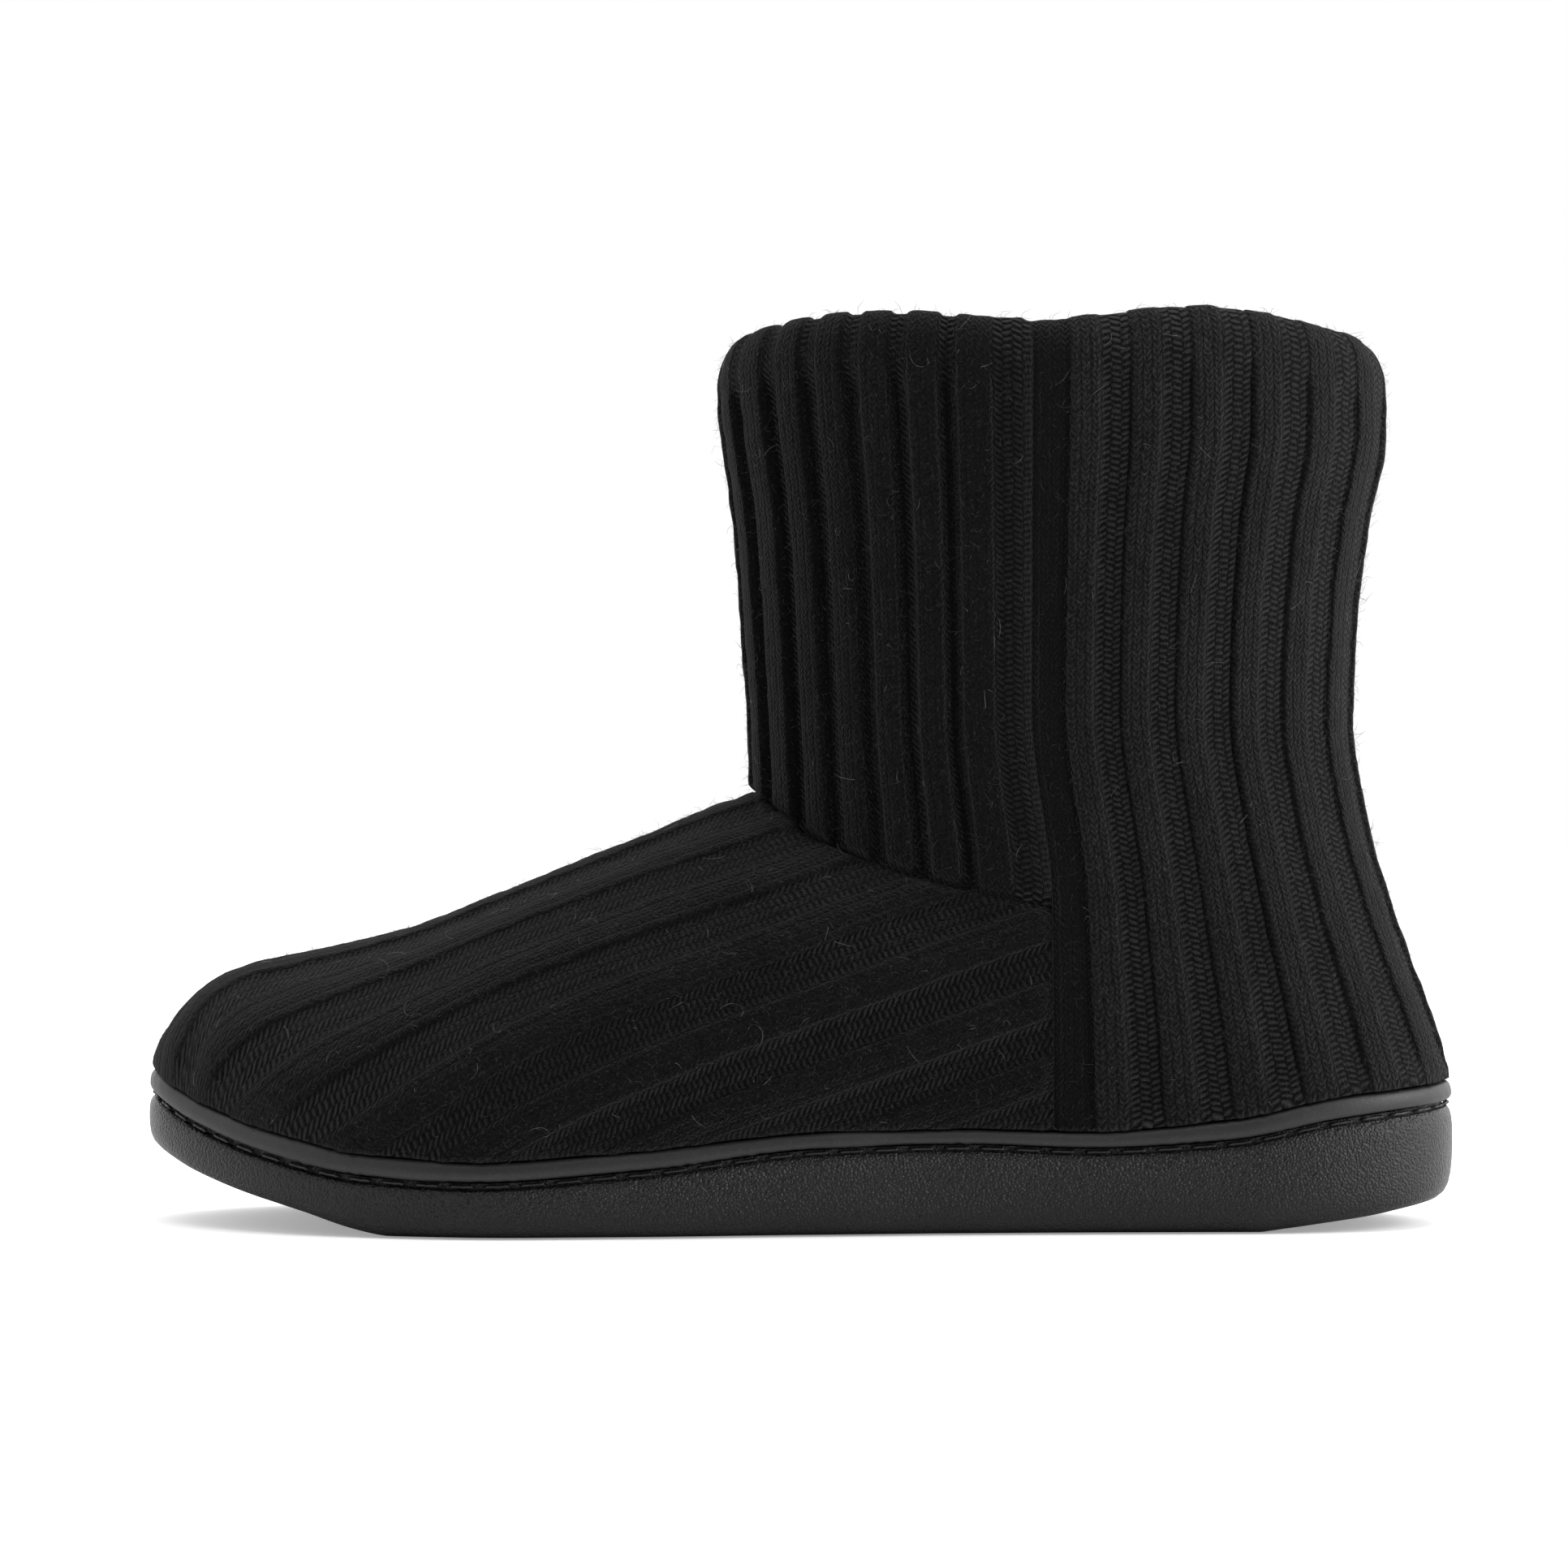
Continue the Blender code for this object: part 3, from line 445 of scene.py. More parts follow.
class Foot:
    """One side of the foot's knit: cross-sections from the binding up to the ridge or the instep seam."""

    from_edge = 0.0016
    cap_length = 0.022
    bulge = math.radians(14)
    side_fullness = 0.60
    ridge_fullness = 0.62
    fold_fullness = 0.30
    fold_power = 1.5
    rib_pitch = 0.0146
    rib_slope = 0.345
    curve_samples = 90
    crease_samples = 800
    course_samples = 2000
    hem_inset = 0.0043

    def __init__(self, side: Side) -> None:
        """Works out the side's edge line and instep seam.

        Args:
            side: the side of the foot.
        """
        self.side = side
        self.line, self.line_share = LAST.side_line(side, self.from_edge)
        self.seam = float(SHAFT_FORM.seam_x(0))
        angle = SHAFT_FORM.angles(np.linspace(1, 0, self.crease_samples), True)
        angle[0] = QUARTER
        self.crease = SHAFT_FORM.crease(angle, side)
        self.corner, self.tip = float(self.crease[0, 0]), float(self.line[0, 0])

    def top(self, x: Points) -> tuple[Points, Points, Points]:
        """The upper end of each section.

        Args:
            x: the sections' places along the foot.

        Returns:
            Its y, its z and how far it has turned down the side.
        """
        ridge_y = LAST.tip_inner * ease((self.corner - x) / (self.corner - self.tip))
        low = float(LAST.base_height(LAST.share(self.tip)))
        high = SHAFT_FORM.instep * smooth(RIDGE, "value", (x - self.tip) / (self.corner - self.tip))
        ridge_z = low + (high - low) * rounding((x - self.tip) / self.cap_length, 2.0)
        crease_y, crease_z = (np.interp(x, self.crease[:, 0], self.crease[:, k]) for k in (1, 2))
        behind = x > self.corner
        base_y = np.interp(x, self.line[:, 0], self.line[:, 1])
        turned = np.where(behind, np.clip(crease_y / base_y, 0, 1) ** self.fold_power, 0)
        return np.where(behind, crease_y, ridge_y), np.where(behind, crease_z, ridge_z), turned

    def sections(self, x: Points) -> Points:
        """Curves across the foot, from the binding up.

        Args:
            x: the sections' places along the foot.

        Returns:
            Their points, sections by samples by x, y, z.
        """
        y0 = np.interp(x, self.line[:, 0], self.line[:, 1])
        z0 = LAST.base_height(np.interp(x, self.line[:, 0], self.line_share))
        y3, z3, turned = self.top(x)
        wide, high = np.abs(y0 - y3), z3 - z0
        turn, lean = turned * QUARTER, self.bulge * (1 - turned / 2)
        low = self.side_fullness * high
        top = self.ridge_fullness * wide * np.cos(turn) + self.fold_fullness * high * np.sin(turn)
        y1, z1 = y0 + self.side.value * low * np.sin(lean), z0 + low * np.cos(lean)
        y2, z2 = y3 + self.side.value * top * np.cos(turn), z3 - top * np.sin(turn)
        t = np.linspace(0, 1, self.curve_samples)
        weights = ((1 - t) ** 3, 3 * t * (1 - t) ** 2, 3 * t * t * (1 - t), t**3)
        y = sum(w * v[:, None] for w, v in zip(weights, (y0, y1, y2, y3)))
        z = sum(w * v[:, None] for w, v in zip(weights, (z0, z1, z2, z3)))
        return np.stack([np.broadcast_to(x[:, None], y.shape), y, z], -1)

    def ribs(self, points: Points, girth_up: Points) -> Points:
        """Rib numbers, counted from the ridge; behind the shaft's corner the ribs run straight on.

        Args:
            points: places on the bare vamp, columns by rows from the binding up.
            girth_up: the girth from the binding to each of them.

        Returns:
            The rib number at each point.
        """
        x = points[:, 0, 0]
        count = smooth(RIB_COUNT, "value", LAST.share(x))
        pitch = girth_up[:, -1] / np.maximum(count, 0.05)
        number = count[:, None] - girth_up / np.maximum(pitch, 0.001)[:, None]
        k = int(np.argmin(np.abs(x - self.corner)))
        level = points[..., 2] - self.rib_slope * (x - self.corner)[:, None]
        height = np.maximum.accumulate(points[k, :, 2])
        onward = np.interp(level, height, number[k])
        onward = onward + np.maximum(height[0] - level, 0) / self.rib_pitch
        return number + (onward - number) * ease((x - self.corner) / 0.020 + 1.0)[:, None]

    def tucked(self, base: Points) -> Points:
        """Rows that carry the knit's lower edge down behind the binding, from the lowest up.

        Args:
            base: points of the knit's lower edge, one row each.

        Returns:
            Three rows of points for each base point.
        """
        order = np.arange(len(self.line))
        at = np.interp(base[:, 0], self.line[:, 0], order)
        behind, s = LAST.side_line(self.side, self.hem_inset)
        x, y, s = (np.interp(at, order, v) for v in (behind[:, 0], behind[:, 1], s))
        low = np.stack([x, y, LAST.edge_height(s) + LAST.fit_gap], 1)
        high = low + (0, 0, 1) * (LAST.strip_height(s) + LAST.fit_gap)[:, None]
        return np.stack([low, high, (2 * base + high) / 3], 1)

    def heel_wall(
        self, shares: Points, drop: float, rows: int, evened: float, power: float, steps: int,
    ) -> Points:
        """The heel's wall on this side, from the binding up to the collar.

        Args:
            shares: where the columns stand, from 0 at the side seam to 1 behind.
            drop: how far the top row lies below the collar's crest.
            rows: how many rows there are.
            evened: 1 spaces the rows evenly behind, 0 keeps the side seam's spacing.
            power: how soon the wall turns from the sole's edge to the shaft's ring.
            steps: how finely the side seam is read above the instep seam.

        Returns:
            The wall's points, columns by rows.
        """
        seam = self.sections(np.array([self.seam]))[0]
        crest = SHAFT_FORM.crest(1 + shares) - drop
        z = np.linspace(SHAFT_FORM.junction, crest[0], steps)
        edge = np.concatenate([seam, SHAFT_FORM.point(0.0, self.side, True, z)[1:]])
        edge = resample(edge, np.linspace(0, 1, rows))
        base = np.column_stack([self.line, LAST.base_height(self.line_share)])
        base = resample(np.concatenate([edge[:1], base[base[:, 0] > edge[0, 0]]]), shares)
        at_seam = (edge[:, 2] - edge[0, 2]) / (edge[-1, 2] - edge[0, 2])
        level = at_seam + (np.linspace(0, 1, rows) - at_seam) * evened * shares[:, None]
        z = base[:, 2:3] + (crest - base[:, 2])[:, None] * level
        angles = SHAFT_FORM.angles(shares, False)[:, None]
        wall = SHAFT_FORM.point(angles, self.side, False, z, np.abs(edge[:, 1])[None, :], edge[:, 0][None, :])
        wall = wall + (base - wall[:, 0])[:, None, :] * ((1 - level) ** power)[..., None]
        wall[0], wall[:, 0] = edge, base
        return wall

    def course_length(self, x: Points) -> Points:
        """Length along the ridge from the tip, which counts the knit's courses.

        Args:
            x: places along the foot.

        Returns:
            The length at each of them.
        """
        fine = np.linspace(self.tip, self.seam, self.course_samples)
        z = np.where(fine > self.corner, SHAFT_FORM.instep, self.top(fine)[1])
        length = running_length(np.stack([fine, z], 1))
        return np.interp(x, fine, length)


# Modelling by hand: what every piece uses

def deselect() -> None:
    """Leaves edit mode and deselects everything."""
    if bpy.context.object and bpy.context.object.mode != "OBJECT":
        bpy.ops.object.mode_set(mode="OBJECT")
    bpy.ops.object.select_all(action="DESELECT")


def take(piece: bpy.types.Object) -> None:
    """Makes one piece the selected and active one.

    Args:
        piece: the piece.
    """
    deselect()
    piece.select_set(True)
    bpy.context.view_layer.objects.active = piece


def edit_all(piece: bpy.types.Object, *steps: Callable[[], object]) -> None:
    """Runs edit-mode steps on the whole of a piece's mesh.

    Args:
        piece: the piece.
        steps: what is done, in order.
    """
    take(piece)
    bpy.ops.object.mode_set(mode="EDIT")
    bpy.ops.mesh.select_all(action="SELECT")
    for step in steps:
        step()
    bpy.ops.object.mode_set(mode="OBJECT")


def cloth_grid(name: str, points: Points, marks: dict[str, Points]) -> bpy.types.Object:
    """Adds a flat grid and lays its vertices out as a panel.

    Args:
        name: the piece's name.
        points: places, columns by rows by x, y, z.
        marks: values kept on the vertices, each columns by rows.

    Returns:
        The new object.
    """
    columns, rows = points.shape[:2]
    deselect()
    bpy.ops.mesh.primitive_grid_add(x_subdivisions=rows - 1, y_subdivisions=columns - 1, size=1)
    piece = bpy.context.object
    piece.name = piece.data.name = name
    piece.data.vertices.foreach_set("co", points.reshape(-1).astype(np.float32))
    for mark, values in marks.items():
        values = np.broadcast_to(values, (columns, rows)).reshape(-1).astype(np.float32)
        piece.data.attributes.new(mark, "FLOAT", "POINT").data.foreach_set("value", values)
    piece.data.update()
    return piece


def joined(name: str, pieces: Sequence[bpy.types.Object], weld: float = 0.00001) -> bpy.types.Object:
    """Joins pieces into one and merges the points that they share.

    Args:
        name: the joined piece's name.
        pieces: what is joined.
        weld: how close points are merged.

    Returns:
        The joined piece.
    """
    take(pieces[0])
    for piece in pieces[1:]:
        piece.select_set(True)
    if len(pieces) > 1:
        bpy.ops.object.join()
    piece = bpy.context.object
    piece.name = piece.data.name = name
    edit_all(piece, lambda: bpy.ops.mesh.remove_doubles(threshold=weld))
    return piece


def coordinates(piece: bpy.types.Object) -> Points:
    """The vertices' places.

    Args:
        piece: the piece.

    Returns:
        One row for each vertex.
    """
    values = np.zeros(len(piece.data.vertices) * 3, np.float32)
    piece.data.vertices.foreach_get("co", values)
    return values.reshape(-1, 3).astype(float)


def set_coordinates(piece: bpy.types.Object, points: Points) -> None:
    """Moves the vertices."""
    piece.data.vertices.foreach_set("co", points.reshape(-1).astype(np.float32))
    piece.data.update()


def normals(piece: bpy.types.Object) -> Points:
    """The vertices' normals.

    Args:
        piece: the piece.

    Returns:
        One row for each vertex.
    """
    values = np.zeros(len(piece.data.vertices) * 3, np.float32)
    piece.data.vertex_normals.foreach_get("vector", values)
    return values.reshape(-1, 3).astype(float)


def mark_values(piece: bpy.types.Object, mark: str) -> Points:
    """The values of a mark on the vertices.

    Args:
        piece: the piece.
        mark: the mark's name.

    Returns:
        One value for each vertex.
    """
    values = np.zeros(len(piece.data.vertices), np.float32)
    piece.data.attributes[mark].data.foreach_get("value", values)
    return values.astype(float)


def face_away(piece: bpy.types.Object, axis_point: Callable[[Points], Points]) -> None:
    """Turns an open panel so that its faces point away from a line inside the slipper.

    Args:
        piece: the panel.
        axis_point: gives the inside point for each vertex.
    """
    points = coordinates(piece)
    if np.sum(normals(piece) * (points - axis_point(points))) < 0:
        edit_all(piece, lambda: bpy.ops.mesh.flip_normals())


# The inside line in metres: height in the foot, place of the leg along the foot, where the leg begins.
INSIDE_Z, INSIDE_X, LEG_FROM = 0.03, 0.05, 0.066


def inside_line(points: Points) -> Points:
    """A line through the middle of the foot and up the shaft, read at each point.

    Args:
        points: places, one row each.

    Returns:
        The nearest place of that line, by x in the foot and by z in the shaft.
    """
    middle = np.zeros(len(points))
    foot = np.stack([points[:, 0], middle, middle + INSIDE_Z], 1)
    leg = np.stack([middle + INSIDE_X, middle, points[:, 2]], 1)
    return np.where((points[:, 2] > LEG_FROM)[:, None], leg, foot)


def apply_modifier(piece: bpy.types.Object, kind: str, **settings: object) -> None:
    """Adds a modifier, sets it and applies it.

    Args:
        piece: the piece.
        kind: the modifier's kind.
        settings: its values by name.
    """
    take(piece)
    modifier = piece.modifiers.new(kind.title(), kind)
    for name, value in settings.items():
        setattr(modifier, name, value)
    bpy.ops.object.modifier_apply(modifier=modifier.name)


def smooth_outwards(piece: bpy.types.Object) -> None:
    """Turns a closed piece's faces outwards and shades them smooth."""
    edit_all(piece, lambda: bpy.ops.mesh.normals_make_consistent(inside=False),
             lambda: bpy.ops.mesh.faces_shade_smooth())


def close_ends(piece: bpy.types.Object) -> None:
    """Fills the open ends of a band of rings, and smooths it.

    Args:
        piece: the band.
    """
    take(piece)
    bpy.ops.object.mode_set(mode="EDIT")
    bpy.ops.mesh.select_all(action="DESELECT")
    bpy.ops.mesh.select_non_manifold(extend=False)
    bpy.ops.mesh.fill(use_beauty=True)
    smooth_outwards(piece)


def laid_out(name: str, points: Points, faces: list[list[int]]) -> bpy.types.Object:
    """Adds a piece that is many copies of a small worked-out shape.

    Args:
        name: the piece's name.
        points: its points, one row each.
        faces: point numbers of each face.

    Returns:
        The new object.
    """
    mesh = bpy.data.meshes.new(name)
    mesh.from_pydata(points.tolist(), [], faces)
    piece = bpy.data.objects.new(name, mesh)
    bpy.context.scene.collection.objects.link(piece)
    return piece


def with_allowance(marks: dict[str, Points], axis: int, first: bool, count: int = 1) -> dict[str, Points]:
    """Repeats a panel's marks for the hidden points along one of its edges.

    Args:
        marks: the panel's marks, each columns by rows.
        axis: 0 to add columns, 1 to add rows.
        first: true to add them before the panel's own.
        count: how many are added.

    Returns:
        The longer marks. The hidden points neither rise nor move.
    """
    longer = {}
    for mark, values in marks.items():
        edge = np.take(values, [0 if first else -1], axis) * (0 if mark in ("rise", "loose") else 1)
        edge = np.repeat(edge, count, axis)
        longer[mark] = np.concatenate([edge, values] if first else [values, edge], axis)
    return longer


def dark_line(distance: Points, reach: float, power: float = 2.0) -> Points:
    """A shadow along an edge: 1 on it, fading to 0 at its reach."""
    return np.maximum(1 - distance / reach, 0) ** power


def stitch_map(piece: bpy.types.Object) -> None:
    """Writes the UV map in stitches: wales across, courses along.

    Args:
        piece: the panel, with its wale and course marks.
    """
    layer = piece.data.uv_layers.active or piece.data.uv_layers.new(name="stitches")
    layer.name = "stitches"
    corner = np.zeros(len(piece.data.loops), np.int32)
    piece.data.loops.foreach_get("vertex_index", corner)
    uv = np.stack([mark_values(piece, "wale")[corner], mark_values(piece, "course")[corner]], 1)
    layer.data.foreach_set("uv", uv.reshape(-1).astype(np.float32))


def hand_over(piece: bpy.types.Object, slot: Slot, material: bpy.types.Material) -> None:
    """Gives a finished piece its material, its body and the solid that it stands for.

    Args:
        piece: the piece.
        slot: the solid that it dresses.
        material: its finish.
    """
    piece.data.materials.clear()
    piece.data.materials.append(material)
    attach(piece, BODY)
    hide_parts(slot.value)


# The knit

@dataclass
class Knit:
    """What the three knit panels share: stitch sizes, seams and the wall's rim."""

    course: float = 0.00128
    wales_a_rib: int = 6
    seam_round: float = 0.0024
    foot_round: float = 0.0013
    foot_start: float = 0.0009
    seam_level: float = 0.0007
    press_most: float = 0.75
    press_reach: float = 0.008
    wall: float = 0.0022
    lumps: float = 0.00022
    lump_size: float = 0.0042
    fine_lumps: float = 0.00009
    fine_size: float = 0.0015

    def at_foot(self, from_strip: Points) -> Points:
        """How far the knit has come out of the binding, from 0 to 1."""
        return ease((from_strip + self.foot_start) / self.foot_round)

    def pressed(self, from_strip: Points) -> Points:
        """How far the ribs are pressed flat beside the binding, from 0 to the most."""
        return self.press_most * (1 - ease(from_strip / self.press_reach))

    def with_tuck(self, name: str, foot: Foot, points: Points, marks: dict[str, Points]) -> bpy.types.Object:
        """Adds the rows behind the binding to a panel's points and marks, and makes its grid.

        Args:
            name: the grid's name.
            foot: the side of the foot that it belongs to.
            points: the panel's points, columns by rows from the binding up.
            marks: its marks, each columns by rows.

        Returns:
            The grid, facing outwards.
        """
        rows = foot.tucked(points[:, 0])
        marks = with_allowance(marks, 1, True, rows.shape[1])
        piece = cloth_grid(name, np.concatenate([rows, points], 1), marks)
        face_away(piece, inside_line)
        return piece

    def dress(
        self, name: str, parts: list[bpy.types.Object], material: bpy.types.Material,
    ) -> bpy.types.Object:
        """Welds a panel's sides, raises its ribs and gives it its rim and stitch map.

        Args:
            name: the panel's name.
            parts: one grid for each side of the foot.
            material: the panel's finish.

        Returns:
            The finished panel.
        """
        panel = joined(name, parts)
        points, out = coordinates(panel), normals(panel)
        loose = mark_values(panel, "loose")
        lumps = self.lumps * lattice_noise(points, self.lump_size, 3)
        lumps += self.fine_lumps * lattice_noise(points, self.fine_size, 8)
        set_coordinates(panel, points + out * (mark_values(panel, "rise") + lumps * loose)[:, None])
        stitch_map(panel)
        apply_modifier(panel, "SOLIDIFY", thickness=self.wall, offset=-1.0, use_rim=True, use_rim_only=True)
        edit_all(panel, lambda: bpy.ops.mesh.faces_shade_smooth())
        hand_over(panel, Slot.KNIT, material)
        return panel


@dataclass
class VampKnit(Knit):
    """The knit over toes and instep: raised smooth bands between bumpy purl bands."""

    wales_a_rib: int = 8
    sections_ahead: int = 152
    sections_behind: int = 98
    girth_rows: int = 118
    corner_reach: float = 0.018
    levels: tuple[float, float, float] = (0.010, 0.095, 0.001)
    below_top: float = 0.0015
    easing: float = 0.006
    top_fade: float = 0.008
    rib_height: float = 0.0012
    raised_from: float = 0.34
    raised_to: float = 0.72
    pressed_level: float = 0.4
    cord: float = 0.00012
    crowding: float = 1.5
    # Painted shade: reach of the dark line along the seams, and how dark the sunken purl bands are drawn.
    seam_dark: float = 0.0022
    purl_dark: float = 0.3
    allowance: tuple[float, float] = (0.0032, 0.0016)

    def stations(self, foot: Foot) -> Points:
        """Places of the sections along the foot, close together at the tip and behind the corner.

        Args:
            foot: the side of the foot.

        Returns:
            Each section's x, from the tip to the side seam.
        """
        turn = np.linspace(0, 1, self.sections_ahead)
        even = foot.tip + (foot.corner - foot.tip) * turn
        crowded = foot.tip + (foot.corner - foot.tip) * (1 - np.cos(turn * QUARTER))
        ahead = crowded + (even - crowded) * ease((turn - 0.1) / 0.5)
        behind = np.linspace(0, 1, self.sections_behind + 1)[1:] ** self.crowding
        return np.concatenate([ahead, foot.corner + (foot.seam - foot.corner) * behind])

    def side(self, side: Side) -> bpy.types.Object:
        """Builds one side of the vamp, from the binding up to the ridge or the instep seam.

        Args:
            side: the side of the foot.

        Returns:
            The flat-shaded grid of that side.
        """
        foot = Foot(side)
        x = self.stations(foot)
        lines = self.rounded_off(foot, x, foot.sections(x))
        visible = running_length(lines)[:, -1]
        whole = np.where(x > foot.corner, visible[self.sections_ahead - 1], visible)
        covered = whole - visible
        power = np.clip(0.9 * whole / np.maximum(covered, 0.001), 1, 4)[:, None]
        shares = np.linspace(0, 1, self.girth_rows)[None, :]
        up = whole[:, None] * shares - covered[:, None] * shares ** power
        heights = up / visible.clip(0.0001)[:, None]
        points = np.array([resample(line, row) for line, row in zip(lines, heights)])
        points[0] = lines[0, 0]
        ribs = foot.ribs(points, up)
        wave = 0.5 - 0.5 * np.cos(2 * math.pi * ribs)
        raised = ease((wave - self.raised_from) / (self.raised_to - self.raised_from))
        to_ridge = np.where((x > foot.corner)[:, None], visible[:, None] - up, 1.0)
        to_seam = (foot.seam - x)[:, None] + 0 * up
        at_foot = self.at_foot(up)
        loose = ease(to_ridge / self.seam_round) * ease(to_seam / self.seam_round) * at_foot
        height = raised + (self.pressed_level - raised) * self.pressed(up)
        rise = SHAFT_FORM.panel_rise + self.rib_height * height
        rise = rise + self.cord * np.cos(self.wales_a_rib * math.pi * ribs) * raised
        least = self.seam_level * at_foot * ease(to_ridge / self.seam_round)
        # Painted shade: a dark line along the ridge and the side seam.
        seams = dark_line(np.minimum(to_ridge, to_seam), self.seam_dark, 1.5)
        marks = {
            "rise": least + (rise - least) * loose, "loose": loose,
            "wale": side.value * ribs * self.wales_a_rib,
            "course": np.repeat(foot.course_length(x)[:, None] / self.course, self.girth_rows, 1),
            # The sunken purl bands get painted shade too.
            "purl": 1 - raised, "painted_shade": seams + self.purl_dark * (1 - raised),
        }
        back, inward = self.allowance
        points = np.concatenate([points, points[-1:] + (back, -side.value * inward, 0)])
        return self.with_tuck(f"vamp_{side.name.lower()}", foot, points, with_allowance(marks, 0, False))

    def rounded_off(self, foot: Foot, x: Points, lines: Points) -> Points:
        """Smooths the sides of the foot under the shaft's front corner.

        Args:
            foot: the side of the foot.
            x: the sections' places along the foot.
            lines: the sections, each from the binding up.

        Returns:
            The sections, with their sides eased across the corner.
        """
        levels = np.arange(*self.levels)
        sides = np.array([np.interp(levels, np.maximum.accumulate(line[:, 2]), line[:, 1]) for line in lines])
        bare = (levels[None, :] < lines[:, -1, 2][:, None] - self.below_top).astype(float)
        near = np.exp(-((x[:, None] - x[None, :]) / self.easing) ** 2) * np.gradient(x)[None, :]
        even = (near @ (sides * bare)) / np.maximum(near @ bare, 1e-9)
        reach = ease((self.corner_reach - np.abs(x - foot.corner)) / (0.5 * self.corner_reach))
        eased = lines.copy()
        for k in np.flatnonzero(reach > 0):
            z = lines[k, :, 2]
            shift = np.interp(z, levels, even[k] - sides[k])
            eased[k, :, 1] += shift * reach[k] * ease((z[-1] - z) / self.top_fade)
        return eased

    def build(self, material: bpy.types.Material) -> bpy.types.Object:
        """Builds and dresses the whole vamp."""
        return self.dress("vamp_knit", [self.side(side) for side in Side], material)


@dataclass
class ShaftKnit(Knit):
    """A shaft panel with the collar's turned-in hem, shared by the front and the heel panel."""

    collar_thickness: float = 0.0084
    roll_height: float = 0.0085
    roll_rise: float = 0.0015
    roll_rows: int = 22
    hem_depth: float = 0.020
    hem_rows: int = 12
    crest_share: float = 0.55
    fade_from: float = 0.0065
    fade_most: float = 0.72
    hem_level: float = 0.75
    hem_pull: float = 0.0022
    seam_shade: float = 0.8

    @property
    def drop(self) -> float:
        """How far a panel's wall ends below the collar's crest."""
        return self.roll_height + self.roll_rise

    def fade(self, points: Points, wall: Points) -> Points:
        """How far the ribs flatten out towards the collar's crest.

        Args:
            points: the panel's points with the roll and the hem.
            wall: the points without them.

        Returns:
            A value from 0 to the most for each point.
        """
        near = (points[..., 2] - wall[:, -1:, 2] + self.fade_from) / self.fade_from
        return self.fade_most * ease(near)

    def levelled(self, rise: Points, rib: float, length: Points, fade: Points, pressed: Points) -> Points:
        """The ribs' rise, made level over the collar, on the hem and beside the binding.

        Args:
            rise: how far each column stands out.
            rib: the height of the panel's ribs.
            length: length along each column.
            fade: how far the collar flattens each point.
            pressed: how far the binding flattens it.

        Returns:
            The rise of each point.
        """
        hem = ease((length - length[:, -1:] + self.hem_depth + 0.004) / 0.008)
        level = SHAFT_FORM.panel_rise + self.crest_share * rib
        share = np.maximum(np.maximum(self.hem_level * hem, fade), pressed)
        return rise[:, None] + (level - rise[:, None]) * share

    def over_collar(self, wall: Points) -> tuple[Points, Points]:
        """Carries a panel's top over the collar's roll and down inside as its hem.

        Args:
            wall: the panel's points, columns by rows from the bottom up.

        Returns:
            The points with the roll's and hem's rows added, and the length along each column.
        """
        top = wall[:, -1]
        along = np.gradient(top[:, :2], axis=0)
        out = np.stack([along[:, 1], -along[:, 0]], 1)
        centre = top[:, :2] - (INSIDE_X, 0.0)
        out *= np.sign((out * centre).sum(1))[:, None]
        out /= np.linalg.norm(out, axis=1)[:, None]
        out = np.column_stack([out, np.zeros(len(out))])
        half = (self.collar_thickness + SHAFT_FORM.panel_rise) / 2 * out
        rows = [wall[:, i] for i in range(wall.shape[1])]
        for turn in np.linspace(0, math.pi, self.roll_rows + 1)[1:]:
            up = np.array([0, 0, self.roll_height * math.sin(turn)])
            rows.append(top - half * (1 - math.cos(turn)) + up)
        inner = rows[-1]
        for depth in np.linspace(0, self.hem_depth, self.hem_rows + 1)[1:]:
            rows.append(inner - (0, 0, depth) + out * (self.hem_pull * ease(depth / self.hem_depth)))
        points = np.stack(rows, 1)
        return points, running_length(points)


